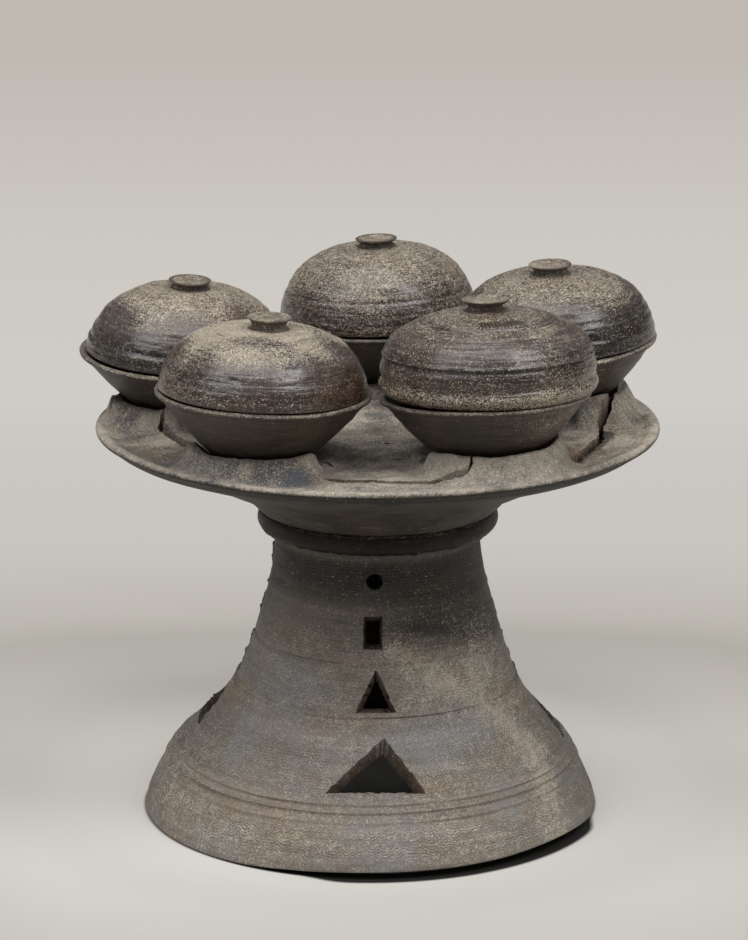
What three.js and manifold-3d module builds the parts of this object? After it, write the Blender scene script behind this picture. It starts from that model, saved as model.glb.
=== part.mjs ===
// A grey stoneware pedestal dish that carries five lidded bowls.
// Millimetres, +Z up. The front faces -Y, and the origin is the middle of the underside of the
// whole object's outline. Up to the last lines, places are measured from the foot's own middle.
import * as THREE from 'three';
import { mergeVertices } from 'three/addons/utils/BufferGeometryUtils.js';
import Module from 'manifold-3d';

const wasm = await Module();
wasm.setup();

// Gap between pieces that lie on each other
const seat = 0.35;

// Foot: a flared stand with four columns of openings
const footHeight = 186;
const groundRadius = 147.2;
const neckRadius = 65;
const footWall = 8;
const footLean = 5.2; // how far the ground ring lies to the left of the neck
const warpLift = 5; // how far the front right of the ground ring stands off the ground
const warpSpan = 50; // degrees to each side over which that lift fades out
const warpTurn = 45; // degrees from the front towards the right
const warpHeight = 40; // the lift fades out up to this height
const roundHoleRadius = 5;
const roundHoleHeight = 168;
const slotWidth = 11.2;
const slotBottom = 126.4;
const slotTop = 146.6;
const smallTriangleWidth = 26.8;
const smallTriangleBottom = 89;
const smallTriangleTop = 115;

// Columns of openings. turn: degrees from the front towards the right. Each ends in a large triangle
// that was cut freehand; skew: how far its tip lies to the right of the middle of its base.
const columns = [
  { turn: 0, width: 65, bottom: 47.5, top: 75, skew: 5 },
  { turn: 95.5, width: 46, bottom: 46, top: 69.5, skew: 0 },
  { turn: 194, width: 50, bottom: 54, top: 77, skew: 2 },
  { turn: -93.5, width: 44, bottom: 55.5, top: 77.5, skew: -1 },
];

// Cordon: the ring of clay round the joint between foot and dish
const cordonBulge = 10.6; // how far it stands out from its own bore
const cordonHeight = 21.5;
const cordonDrop = 10; // how far the cordon reaches below the top of the foot
const cordonFit = 1.2; // room between the cordon and the neck

// Bowls: what all five share
const bowlRadius = 66.4;
const bowlGap = 7.2; // between the rims of two neighbours
const bowlBaseRadius = 26;
const bowlWall = 5;
const rimRoll = 1.6; // how far the rounded rim stands out from the bowl's side
const rimHeight = 43.6; // from the plate to the middle of a rim
const collarRadius = 46; // outside of the raised edge of clay round a bowl's lower part
const collarHeight = 14;
const collarSkirt = 13; // how far the collar spreads where it meets the plate
const collarGap = 0.7; // dark gap between collar and bowl

// Dish: a shallow turned bowl whose mouth is closed by a plate
const dishOverhang = 60.5; // from the middle of a bowl out to the dish's rim
const dishShoulder = 11; // ledge over the cordon, out from the neck
const dishWall = 7;
const dishFloor = 8;
const dishTop = 254;
const lipRise = 2;
const lipThickness = 9;
const lipWidth = 8;
const flangeWidth = 31; // from the rim in to the seam round the plate
const ledgeWidth = 7;
const plateThickness = 6;
const ventRadius = 3;
const ventTurn = -15.7; // degrees from the front towards the right
const ventShare = 0.75; // of the way from the middle of the plate to its seam

// Lids and knobs
const lidHeight = 44; // from a lid's edge to its crown, before each lid's own difference
const lidWall = 5;
const lidInset = 2; // how far a lid's edge lies inside the bowl's rim
const knobRadius = 13.7;
const knobStemRadius = 9.2;
const knobDisc = 2.6; // thickness of the disc at its edge
const knobHollow = 1; // depth of the dip in its top

// Round pieces are turned with this many steps
const largeSteps = 40;
const bowlSteps = 24;
const knobSteps = 16;

const degrees = THREE.MathUtils.degToRad;
const smooth = (t) => THREE.MathUtils.smoothstep(t, 0, 1);

// The five bowls stand on a ring that just lets neighbours clear each other.
const ringRadius = (2 * bowlRadius + bowlGap) / (2 * Math.sin(Math.PI / 5));
const dishRadius = ringRadius + dishOverhang;
const plateRadius = dishRadius - flangeWidth;

// Each bowl was made by hand, so each stands, leans and measures a little differently.
// turn: degrees from the front to the right; out: beyond the ring; wide: added to the rim's
// radius; high: added to the rim's height; right, back: degrees that the right side is down
// and the back is up. The lid's own height and roundness follow, then how it rocks on its bowl.
const bowls = [
  { name: 'front_left', turn: -36.4, out: 0, wide: 1, high: 1.4, right: 2.7, back: -0.25,
    lid: { wide: -1, high: -5.5, side: 3.08, crown: 1.71, right: -1.2, back: 0, x: 0, y: -1 },
    knob: { high: 7.4, wide: 0, x: 2.5 } },
  { name: 'front_right', turn: 33.7, out: -0.5, wide: -1.3, high: 0, right: -2.15, back: -3.5,
    lid: { wide: 2.6, high: 6, side: 2.1, crown: 1.9, right: 1.6, back: 1.8, x: 1.5, y: 1 },
    knob: { high: 6.4, wide: 1.3, x: -1.5 } },
  { name: 'right', turn: 107.7, out: 0, wide: 0, high: 2.7, right: -2.5, back: 1.2,
    lid: { wide: 0, high: -2, side: 3.19, crown: 1.93, right: 1.2, back: 0, x: 1, y: 0 },
    knob: { high: 6, wide: 0, x: -1.6 } },
  { name: 'back', turn: 180.3, out: 0, wide: -0.3, high: -1.2, right: -0.84, back: 0.27,
    lid: { wide: 1.4, high: 3.4, side: 3.17, crown: 1.81, right: -1, back: 0, x: 1.2, y: 0 },
    knob: { high: 5.4, wide: 0, x: 0 } },
  { name: 'left', turn: -102, out: 8, wide: 0.8, high: -2.7, right: 3.1, back: 2.6,
    lid: { wide: -0.5, high: -2.7, side: 2.91, crown: 1.6, right: -0.8, back: 0, x: 1, y: 1 },
    knob: { high: 5, wide: 0, x: 1.5 } },
];

// Heights on the lid that is thrown in two tiers, and how far its wall moves in or out there
const tierHeight = 24;
const tierStep = 1.6;
const tierBulge = 3.2;
const tierGroove = 1.2;

// A closed solid from a geometry: shared corners are merged and its faces are turned outwards.
function solidOf(geometry) {
  const bare = geometry.index ? geometry : mergeVertices(geometry);
  bare.deleteAttribute('normal');
  bare.deleteAttribute('uv');
  const merged = mergeVertices(bare, 1e-4);
  const corners = merged.attributes.position.array;
  const faces = [];
  let volume = 0;
  for (let i = 0; i < merged.index.count; i += 3) {
    const [a, b, c] = [0, 1, 2].map((k) => merged.index.getX(i + k));
    if (a === b || b === c || c === a) continue;
    faces.push(a, b, c);
    const [p, q, r] = [a, b, c].map((k) => new THREE.Vector3().fromArray(corners, 3 * k));
    volume += p.dot(q.cross(r));
  }
  if (volume < 0) faces.reverse();
  const mesh = new wasm.Mesh({
    numProp: 3,
    vertProperties: new Float32Array(corners),
    triVerts: new Uint32Array(faces),
  });
  return new wasm.Manifold(mesh);
}

function geometryOf(solid) {
  const { vertProperties, triVerts } = solid.getMesh();
  const geometry = new THREE.BufferGeometry();
  geometry.setAttribute('position', new THREE.BufferAttribute(new Float32Array(vertProperties), 3));
  geometry.setIndex(new THREE.BufferAttribute(new Uint32Array(triVerts), 1));
  geometry.computeVertexNormals();
  return geometry;
}

// Turns a profile of [radius, height] points round the Z axis.
function turned(profile, steps) {
  const points = profile.map(([r, z]) => new THREE.Vector2(r, z));
  return new THREE.LatheGeometry(points, steps).rotateX(Math.PI / 2);
}

// Points along a smooth curve through a few [radius, height] points
function curveThrough(points, count) {
  const curve = new THREE.SplineCurve(points.map(([r, z]) => new THREE.Vector2(r, z)));
  return curve.getPoints(count).map((p) => [p.x, p.y]);
}

// The same curve, moved sideways to its left by a wall's thickness
function offsetCurve(points, wall) {
  return points.map(([r, z], i) => {
    const before = points[Math.max(i - 1, 0)];
    const after = points[Math.min(i + 1, points.length - 1)];
    const along = new THREE.Vector2(after[0] - before[0], after[1] - before[1]).normalize();
    return [r - along.y * wall, z + along.x * wall];
  });
}

// A piece that is cut out of the front and round the foot, by its outline [across, height]
function openingCutter(outline, turn) {
  const shape = new THREE.Shape(outline.map(([x, z]) => new THREE.Vector2(x, z)));
  const cutter = new THREE.ExtrudeGeometry(shape, { depth: groundRadius, bevelEnabled: false });
  cutter.translate(0, 0, neckRadius / 3).rotateX(Math.PI / 2).rotateZ(turn);
  return solidOf(cutter);
}

function roundOutline(radius, height, steps) {
  return Array.from({ length: steps }, (_, i) => {
    const a = (2 * Math.PI * i) / steps;
    return [radius * Math.cos(a), height + radius * Math.sin(a)];
  });
}

// The foot leans a little, and the front right of its ground ring has warped off the ground.
function warpFoot(geometry) {
  const place = geometry.attributes.position;
  for (let i = 0; i < place.count; i += 1) {
    const [x, y, z] = [place.getX(i), place.getY(i), place.getZ(i)];
    const turn = THREE.MathUtils.radToDeg(Math.atan2(x, -y));
    const near = Math.max(0, 1 - Math.abs(turn - warpTurn) / warpSpan);
    const low = Math.max(0, 1 - z / warpHeight);
    place.setX(i, x - footLean * (1 - smooth(z / footHeight / 0.65)));
    place.setZ(i, z + warpLift * smooth(near) * low);
  }
  return geometry;
}

function footSolid() {
  const flare = groundRadius - neckRadius;
  const shares = [[1, 0], [0.957, 0.065], [0.775, 0.215], [0.61, 0.296], [0.391, 0.403],
    [0.271, 0.51], [0.113, 0.73], [0.012, 0.93], [0, 1]];
  const outer = curveThrough(
    shares.map(([out, up]) => [neckRadius + out * flare, up * footHeight]), 12);
  const inner = offsetCurve(outer, footWall).reverse();
  inner[0][1] = footHeight;
  inner[inner.length - 1][1] = 0;
  let foot = solidOf(warpFoot(turned([...outer, ...inner, outer[0]], largeSteps)));
  const triangle = (width, bottom, top, skew) =>
    [[-width / 2, bottom], [width / 2, bottom], [skew, top]];
  const slot = [[-slotWidth / 2, slotBottom], [slotWidth / 2, slotBottom],
    [slotWidth / 2, slotTop], [-slotWidth / 2, slotTop]];
  const outlines = [
    roundOutline(roundHoleRadius, roundHoleHeight, 12),
    slot,
    triangle(smallTriangleWidth, smallTriangleBottom, smallTriangleTop, 0),
  ];
  for (const { turn, width, bottom, top, skew } of columns) {
    for (const outline of [...outlines, triangle(width, bottom, top, skew)]) {
      foot = foot.subtract(openingCutter(outline, degrees(turn)));
    }
  }
  return foot;
}

const cordonBottom = footHeight - cordonDrop;

function cordonGeometry() {
  const inside = neckRadius + cordonFit;
  const outline = [[0.07, 0], [0.31, 0.144], [0.566, 0.237], [0.8, 0.42], [0.96, 0.61], [1, 0.76],
    [0.94, 0.89], [0.85, 1]];
  const skin = outline.map(([out, up]) =>
    [inside + out * cordonBulge, cordonBottom + up * cordonHeight]);
  const top = cordonBottom + cordonHeight;
  return turned([...skin, [inside, top], [inside, cordonBottom], skin[0]], largeSteps);
}

function dishGeometry() {
  const base = footHeight + seat;
  const shoulder = cordonBottom + cordonHeight + seat;
  const lipBottom = dishTop + lipRise - lipThickness;
  const rise = lipBottom - shoulder;
  const start = neckRadius + dishShoulder;
  const reach = dishRadius - lipWidth - start;
  const shares = [[0, 0], [0.021, 0.058], [0.047, 0.14], [0.084, 0.206], [0.199, 0.343],
    [0.356, 0.486], [0.586, 0.668], [0.826, 0.828], [1, 1]];
  const under = curveThrough(
    shares.map(([out, up]) => [start + out * reach, shoulder + up * rise]), 7);
  const lip = [
    [dishRadius - 5.6, lipBottom + 1.8],
    [dishRadius - 2.1, lipBottom + 4.2],
    [dishRadius, lipBottom + lipThickness * 0.66],
    [dishRadius - 0.8, dishTop + lipRise - 1],
    [dishRadius - 2.6, dishTop + lipRise],
    [dishRadius - lipWidth, dishTop],
  ];
  const ledge = dishTop - plateThickness - seat;
  const inside = offsetCurve(under, dishWall).reverse()
    .filter(([r, z]) => r < plateRadius - ledgeWidth && z < ledge - 2);
  const floor = base + dishFloor;
  return turned([
    [0, base], [neckRadius - 0.2, base], [neckRadius - 0.2, shoulder], ...under, ...lip,
    [plateRadius + seat, dishTop], [plateRadius + seat, ledge], [plateRadius - ledgeWidth, ledge],
    ...inside, [neckRadius - 4, floor], [0, floor],
  ], largeSteps);
}

function plateSolid() {
  const disc = (radius, bottom, top, steps) =>
    turned([[0, bottom], [radius, bottom], [radius, top], [0, top]], steps);
  const plate = solidOf(disc(plateRadius, dishTop - plateThickness, dishTop, largeSteps));
  const vent = disc(ventRadius, dishTop - plateThickness - 1, dishTop + 1, 12);
  const out = ventShare * plateRadius;
  vent.translate(out * Math.sin(degrees(ventTurn)), -out * Math.cos(degrees(ventTurn)), 0);
  return plate.subtract(solidOf(vent));
}

// Where a bowl's rim is, and how the bowl is tilted
function bowlPlace(bowl) {
  const out = ringRadius + bowl.out;
  const turn = degrees(bowl.turn);
  const middle = new THREE.Vector3(
    out * Math.sin(turn), -out * Math.cos(turn), dishTop + rimHeight + bowl.high);
  return new THREE.Matrix4().compose(middle, tiltOf(bowl), new THREE.Vector3(1, 1, 1));
}

function tiltOf({ right, back }) {
  return new THREE.Quaternion().setFromEuler(new THREE.Euler(degrees(back), degrees(right), 0));
}

function rimRadiusOf(bowl) {
  return bowlRadius + bowl.wide;
}

// A tilted bowl stands on the low side of its base, so its depth leaves room for that.
function depthOf(bowl) {
  const tilt = Math.hypot(degrees(bowl.right), degrees(bowl.back));
  return rimHeight + bowl.high - seat - bowlBaseRadius * Math.sin(tilt) - 0.1;
}

// The bowl's outside below its rim, from the rim down to the base
function bowlSide(bowl, spread) {
  const depth = depthOf(bowl);
  const top = rimRadiusOf(bowl) - rimRoll;
  return [0.12, 0.35, 0.58, 0.8, 1].map((share) => {
    const h = share * depth;
    const full = Math.max(0, 1 - (h / depth) ** 1.2) ** 0.95;
    return [bowlBaseRadius + spread + (top - bowlBaseRadius) * full, -h];
  });
}

function bowlGeometry(bowl) {
  const radius = rimRadiusOf(bowl);
  const depth = depthOf(bowl);
  const outside = bowlSide(bowl, 0);
  const inside = outside.slice(1, -1).map(([r, z]) => [r - bowlWall, z + bowlWall * 0.4]).reverse();
  const floor = -depth + bowlWall;
  return turned([
    [0, floor], [bowlBaseRadius - 3, floor], ...inside,
    [radius - 5.2, -1.2], [radius - 4.2, -0.1], [radius - 2.6, 0], [radius - 0.7, -0.5], [radius, -2],
    ...outside, [0, -depth],
  ], bowlSteps);
}

// A collar is raised from the clay round a bowl, and follows the bowl that leans in it.
function collarSolid(bowl) {
  const bottom = dishTop + seat;
  const place = bowlPlace(bowl);
  const middle = new THREE.Vector3().setFromMatrixPosition(place);
  const wide = collarRadius + collarSkirt;
  const profile = curveThrough(
    [[1, 0.1], [0.55, 0.2], [0.2, 0.5], [0, 1]].map(([out, up]) =>
      [collarRadius + out * collarSkirt, bottom + up * collarHeight]), 5);
  const hole = bowlBaseRadius + 2;
  const ring = solidOf(turned([
    [wide, bottom], ...profile, [hole, bottom + collarHeight], [hole, bottom], [wide, bottom],
  ], bowlSteps).translate(middle.x, middle.y, 0));
  const side = bowlSide(bowl, collarGap);
  const cutter = turned([
    [0, 4], [side[0][0] + 3, 4], ...side, [side.at(-1)[0], side.at(-1)[1] - 3], [0, side.at(-1)[1] - 3],
  ], bowlSteps).applyMatrix4(place);
  const flange = turned([
    [0, bottom - 1], [dishRadius - lipWidth - 0.5, bottom - 1],
    [dishRadius - lipWidth - 0.5, bottom + 3], [dishRadius - 1, bottom + 5],
    [dishRadius - 1, bottom + 2 * collarHeight], [0, bottom + 2 * collarHeight],
  ], largeSteps);
  return ring.subtract(solidOf(cutter)).intersect(solidOf(flange));
}

function lidRadiusOf(bowl) {
  return rimRadiusOf(bowl) - lidInset + bowl.lid.wide;
}

// A dome as [radius, height] points: (r / radius)^side + (z / height)^crown = 1
function dome(radius, height, side, crown, count, from) {
  return Array.from({ length: count }, (_, i) => {
    const a = (Math.PI / 2) * (i / (count - 1));
    return [radius * Math.cos(a) ** (2 / side), from + height * Math.sin(a) ** (2 / crown)];
  });
}

function lidHeightOf(bowl) {
  return lidHeight + bowl.lid.high;
}

function lidProfile(bowl) {
  const radius = lidRadiusOf(bowl);
  const high = lidHeightOf(bowl);
  const { side, crown, wide } = bowl.lid;
  if (wide < 2) return dome(radius, high, side, crown, 7, 0);
  const low = radius - tierBulge;
  return [
    [low, 0], [radius, 0.22 * tierHeight], [radius - tierGroove, 0.6 * tierHeight],
    [radius - tierStep, tierHeight],
    ...dome(radius - 2.6 * tierStep, high - tierHeight, side, crown, 5, tierHeight + 0.4),
  ];
}

function lidGeometry(bowl) {
  const outside = lidProfile(bowl);
  const radius = lidRadiusOf(bowl);
  const { side, crown, wide } = bowl.lid;
  const low = wide < 2 ? radius - lidWall : radius - lidWall - tierBulge;
  const inside = dome(low, lidHeightOf(bowl) - lidWall, side, crown, 6, 0).reverse();
  return turned([...inside, ...outside.slice(0, -1), [0, outside.at(-1)[1]]], bowlSteps);
}

// A lid rocks on its bowl's rim, so its middle is lifted until its edge just clears the rim.
function lidPlace(bowl) {
  const rock = Math.hypot(degrees(bowl.lid.right), degrees(bowl.lid.back));
  const rise = seat + lidRadiusOf(bowl) * Math.sin(rock);
  const onRim = new THREE.Matrix4().compose(
    new THREE.Vector3(bowl.lid.x, bowl.lid.y, rise), tiltOf(bowl.lid), new THREE.Vector3(1, 1, 1));
  return bowlPlace(bowl).multiply(onRim);
}

function knobGeometry(bowl) {
  const radius = knobRadius + bowl.knob.wide;
  const { high } = bowl.knob;
  return turned([
    [0, 0], [knobStemRadius, 0], [knobStemRadius - 0.6, 0.35 * (high - knobDisc)],
    [radius - 1, high - knobDisc], [radius, high - 0.5 * knobDisc], [radius - 0.8, high],
    [0.6 * radius, high - knobHollow], [0, high - knobHollow],
  ], knobSteps);
}

// Ceramics of this object: reduction-fired stoneware, bare or dusted with kiln ash
const clay = (color, roughness) => new THREE.MeshStandardMaterial({ color, roughness, metalness: 0 });
const finishes = {
  foot: clay('#77716a', 0.85),
  cordon: clay('#46423f', 0.85),
  dish: clay('#5d5a57', 0.8),
  plate: clay('#7a746b', 0.85),
  collar: clay('#6b665f', 0.85),
  bowl: clay('#4a4643', 0.7),
  lid: clay('#574e49', 0.6),
  knob: clay('#635c53', 0.7),
};

const pedestalDish = new THREE.Group();

function addPiece(name, geometry, finish, place) {
  const mesh = new THREE.Mesh(geometryOf(solidOf(geometry)), finish);
  mesh.name = name;
  if (place) place.decompose(mesh.position, mesh.quaternion, mesh.scale);
  pedestalDish.add(mesh);
}

addPiece('foot', geometryOf(footSolid()), finishes.foot);
addPiece('neck_cordon', cordonGeometry(), finishes.cordon);
addPiece('dish', dishGeometry(), finishes.dish);
addPiece('top_plate', geometryOf(plateSolid()), finishes.plate);
for (const bowl of bowls) {
  addPiece(`collar_${bowl.name}`, geometryOf(collarSolid(bowl)), finishes.collar);
  addPiece(`bowl_${bowl.name}`, bowlGeometry(bowl), finishes.bowl, bowlPlace(bowl));
  addPiece(`lid_${bowl.name}`, lidGeometry(bowl), finishes.lid, lidPlace(bowl));
  const onLid = new THREE.Matrix4().makeTranslation(bowl.knob.x, 0, lidProfile(bowl).at(-1)[1] + seat);
  addPiece(`knob_${bowl.name}`, knobGeometry(bowl), finishes.knob, lidPlace(bowl).multiply(onLid));
}

const outline = new THREE.Box3().setFromObject(pedestalDish, true);
const middle = outline.getCenter(new THREE.Vector3());
pedestalDish.position.set(-middle.x, -middle.y, 0);

export default pedestalDish;
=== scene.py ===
import math

import bpy
import numpy as np
from mathutils import Matrix, Vector


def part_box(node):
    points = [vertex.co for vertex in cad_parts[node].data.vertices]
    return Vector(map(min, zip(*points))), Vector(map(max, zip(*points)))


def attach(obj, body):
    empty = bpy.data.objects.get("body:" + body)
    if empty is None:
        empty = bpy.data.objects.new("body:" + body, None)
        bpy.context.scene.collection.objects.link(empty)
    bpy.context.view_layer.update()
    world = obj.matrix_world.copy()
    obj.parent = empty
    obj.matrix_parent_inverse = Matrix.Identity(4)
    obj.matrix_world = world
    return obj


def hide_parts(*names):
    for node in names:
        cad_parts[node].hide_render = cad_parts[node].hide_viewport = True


# A grey stoneware pedestal dish that carries five lidded bowls, fired hot in a wood kiln.
# Every form is thrown on the wheel, so the way here is the potter's: an outline is spun round,
# then pushed a little out of true, cut with a knife, and dusted with ash. Lengths in the tables
# are millimetres; the dish's own axis is their middle, and the front faces -Y.

bl_info = {
    "name": "Pedestal Dish with Lidded Bowls",
    "version": (1, 0, 0),
    "blender": (4, 5, 0),
    "location": "View3D > Sidebar > Pottery",
    "description": "Builds a pierced stoneware stand with five lidded bowls and its studio",
    "category": "Add Mesh",
}

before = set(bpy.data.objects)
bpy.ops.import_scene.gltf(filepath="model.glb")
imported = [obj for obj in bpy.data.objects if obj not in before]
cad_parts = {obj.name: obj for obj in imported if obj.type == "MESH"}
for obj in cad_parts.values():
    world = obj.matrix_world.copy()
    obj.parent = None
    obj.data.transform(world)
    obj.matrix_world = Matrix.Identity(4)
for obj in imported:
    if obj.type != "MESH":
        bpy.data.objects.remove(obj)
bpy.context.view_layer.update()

MM = 0.001
FULL = 2 * math.pi
# Width of a grain in mm. The grit is really 0.3 mm; it is drawn larger to be seen.
GRIT = 0.65
PALE_GRAIN = 1.5
# Dark of a pinhole: painted shade inside it
PINHOLE = "1E1A17"
plate_low, plate_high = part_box("top_plate")
AXIS = np.array([(plate_low.x + plate_high.x) / 2, (plate_low.y + plate_high.y) / 2, 0]) / MM

# Heights and radii that several pieces share
FOOT_TOP = 186.0
DISH_BASE = 186.4
DISH_WALL = 7
PLATE_UNDER = 247.5
PLATE_TOP = 254.0
BOWL_RADIUS = 66.4
BOWL_BASE = 26.0
RIM_HEIGHT = 43.6
LID_HEIGHT = 44.0
LID_INSET = 2.0
LID_WALL = 5
LID_STEP = 1.15
SEAT = 0.35
RING_RADIUS = (2 * BOWL_RADIUS + 7.2) / (2 * math.sin(math.pi / 5))

# Outlines as (radius, height)
FOOT_SIDE = [(147.2, 0), (143.7, 12), (137.6, 25), (128.7, 40), (115.1, 55), (97.1, 75), (87.3, 95),
             (79.7, 115), (74.3, 135), (69.1, 155), (66.6, 172), (65.0, 186)]
CORDON_SIDE = [(65.6, 184.8), (67.2, 185.4), (70.5, 186.0), (73.4, 186.8), (75.2, 188.2), (76.4, 190.0),
               (77.1, 192.4), (77.1, 195.0), (76.6, 197.6), (75.8, 199.5), (74.6, 200.3), (65.6, 200.1)]
DISH_UNDER = [(75.4, 200.3), (76.8, 201.1), (78.6, 202.7), (80.5, 204.6), (84.0, 208.4), (89.0, 211.9),
              (95.0, 215.4), (102.0, 218.8), (110.0, 222.7), (120.0, 227.2), (132.0, 232.0), (144.0, 236.3),
              (155.0, 240.2), (163.0, 243.0), (169.0, 245.4), (172.0, 247.2)]
DISH_LIP = [(172.0, 247.2), (174.4, 248.9), (177.4, 250.9), (179.2, 252.2), (179.7, 253.4), (179.2, 255.0),
            (177.4, 255.9), (174.6, 255.6), (170.0, 254.1), (164.0, 253.4), (156.0, 253.7), (148.0, 254.0)]

# Faces round the wheel of each kind of turned piece
ROUND = {"foot": 384, "neck": 360, "dish": 448, "bowl": 192, "lid": 224, "knob": 96, "hollow": 72, "print": 120}

KNOB_SIDE = [(0, -1.6), (6, -1.6), (14.2, -1.5), (12.4, -0.3), (11.2, 0.6), (10.6, 1.8), (10.9, 2.9),
             (12.2, 4.2), (13.3, 5.0), (13.7, 5.6), (13.4, 6.0), (12.4, 6.1), (9.0, 5.5), (5.0, 5.1), (0, 5.0)]

# Columns of openings: the turn, and the large triangle's width, bottom, top and skew of its tip
COLUMNS = [(0, 69, 47.3, 75.3, 5), (95.5, 46, 46, 69.5, 0), (194, 50, 54, 77, 2), (-93.5, 44, 55.5, 77.5, -1)]
# The openings above it: bottom, top, share by which the hole narrows for each mm, and its outline, which
# is a share of half its height from -1 to 1, but mm in the round hole
ROUND_HOLE = [(5.2 * math.cos(a), 5.2 * math.sin(a)) for a in np.linspace(0, FULL, 20, endpoint=False)]
OPENINGS = [
    (163, 173, 0.004, ROUND_HOLE),
    (126.4, 146.6, 0.035, [(-6.1, -1), (6.1, -1), (6.1, 1), (-6.1, 1)]),
    (89, 115, 0.042, [(-13.4, -1), (13.4, -1), (0, 1)]),
]
# How the knife cut each of the four: how far it strayed to the side, length of a stroke, shake
KNIFE_WORK = [(-2.1, 1.6, 0.15), (-3.2, 3.2, 0.3), (-1.2, 2.4, 0.4), (-0.9, 2.4, 0.6)]
# Share of that straying in each column
STRAYS = [1, -0.4, 0.5, 0.3]
LIP_WIDTH = 1.5
SCAR_WIDTH = 0.75

# Lines that the potter turned into the foot: height, width, and how far each stands out
FOOT_LINES = [(41.8, 1.3, 1.4), (37.3, 1.3, 1.3), (31.4, 1.3, 1.1), (34.4, 1.7, -0.55), (39.4, 1.1, -0.4),
              (88.0, 1.0, -0.65), (84.8, 1.0, -0.7), (86.4, 0.8, 0.5), (116.2, 1.2, -1.0), (118.2, 1.6, 0.5),
              (151.0, 1.3, 0.4), (158.6, 1.2, -0.4), (122.0, 3.0, 0.3), (8.0, 4.0, 0.3), (45.5, 2.0, -0.5)]
# How the ground ring went out of true: turn, share of the greatest lift, and how far it swelled
GROUND_RING = [(-45, 0, 0), (-32, 0.1, 0.5), (-20, 0.4, 1.6), (-8, 0.62, 3.0), (4, 0.7, 3.6), (20, 0.74, 4.0),
               (34, 0.82, 4.2), (44, 0.96, 4.2), (52, 1.0, 4.0), (60, 0.9, 3.4), (70, 0.55, 2.0),
               (80, 0.2, 0.8), (92, 0, 0)]
# Bands of combed waves, from and to a height, and how deep the comb went
COMB_BANDS = [(11, 28, 1.1), (47, 70, 1.1), (90.5, 112, 1.1), (123, 142, 1.1), (158, 180, 1.6)]

# Soft spots that the kiln left on the foot, where the soot spots high up and on the left are also painted
# shade: (turn, height, degrees wide, mm high, strength)
FOOT_MARKS = {
    "ash": [(44, 108, 20, 13, 0.4), (-40, 20, 60, 12, 0.1), (20, 104, 12, 14, 0.2), (34, 56, 24, 14, 0.1),
            (14, 92, 12, 8, 0.2)],
    "soot_and_shade": [(42, 140, 30, 13, 0.75), (66, 128, 24, 13, 0.6), (20, 138, 12, 9, 0.2), (-72, 45, 22, 30, 0.2)],
    "warm": [(-80, 82, 14, 10, 0.8), (-38, 30, 30, 12, 0.25), (20, 49, 8, 5, 0.4), (75, 78, 10, 8, 0.5),
             (-10, 120, 8, 4, 0.4), (-60, 140, 20, 20, 0.25), (12, 124, 5, 4, 0.3)],
    "cool_and_sheen": [(36, 69, 16, 10, 0.5), (26, 61, 12, 8, 0.3), (-54, 74, 16, 10, 0.4), (-72, 53, 12, 10, 0.35),
             (-21, 47, 14, 5, 0.35), (-20, 66, 16, 12, 0.3), (-30, 100, 18, 9, 0.3), (10, 74, 10, 8, 0.35)],
}
# Where a trail of pale ash ran down it, as (turn, height)
ASH_TRAIL = [(8, 124), (22, 113.8), (35, 98), (43.4, 89.6), (50.4, 80), (55.8, 70), (59.4, 56.4), (56.7, 43.2),
             (51.9, 22.5), (51.7, 5)]

# The five bowls. turn: degrees from the front to the right; out: beyond the ring; wide, high: added
# to the rim; right, back: degrees that the right side is down and the back is up. Collar: radius of
# its torn edge, height on the left and on the right, and how far the gap lies to the left and front.
# Apron: the turns between which the clay is drawn up high; elsewhere it is a low ring.
BOWLS = {
    "front_left": dict(
        turn=-36.4, out=0, wide=0.1, high=1.4, right=2.2, back=-0.25,
        collar=(44.5, 12.6, 11.4, -1.2, -1.0), apron=(-92, 49),
        lid=dict(wide=-0.1, high=-5.5, side=3.5, crown=1.74, right=0.4, back=0, x=0, y=-1),
        knob=dict(high=7.4, wide=0, x=2.5)),
    "front_right": dict(
        turn=33.7, out=-0.5, wide=-1.3, high=0, right=-2.15, back=-3.5,
        collar=(45, 13.5, 16.5, 1.2, -1.2), apron=(-54, 100),
        lid=dict(wide=4.3, high=6, side=2.1, crown=1.9, right=0.9, back=1.3, x=2.4, y=1),
        knob=dict(high=6.4, wide=1.3, x=-1.5)),
    "right": dict(
        turn=107.7, out=0, wide=0, high=3.6, right=-4, back=2.4,
        collar=(46, 16, 18.5, 0.8, 0), apron=(10, 190),
        lid=dict(wide=0, high=-2, side=3.19, crown=1.93, right=1.2, back=0, x=1, y=0),
        knob=dict(high=6, wide=0, x=-1.6)),
    "back": dict(
        turn=180.3, out=0, wide=-0.3, high=-1.2, right=-0.84, back=0.27,
        collar=(44, 15, 14, 0, 0.5), apron=(60, 300),
        lid=dict(wide=1.4, high=3.4, side=3.17, crown=1.81, right=-1, back=0, x=1.2, y=0),
        knob=dict(high=5.4, wide=0, x=0)),
    "left": dict(
        turn=-102, out=8, wide=0.8, high=-2.7, right=3.1, back=2.6,
        collar=(50, 13, 11.5, -1, -1), apron=(-190, 5),
        lid=dict(wide=-0.5, high=-2.7, side=2.91, crown=1.6, right=-0.8, back=0, x=1, y=1),
        knob=dict(high=5, wide=0, x=1.5)),
}

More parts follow.
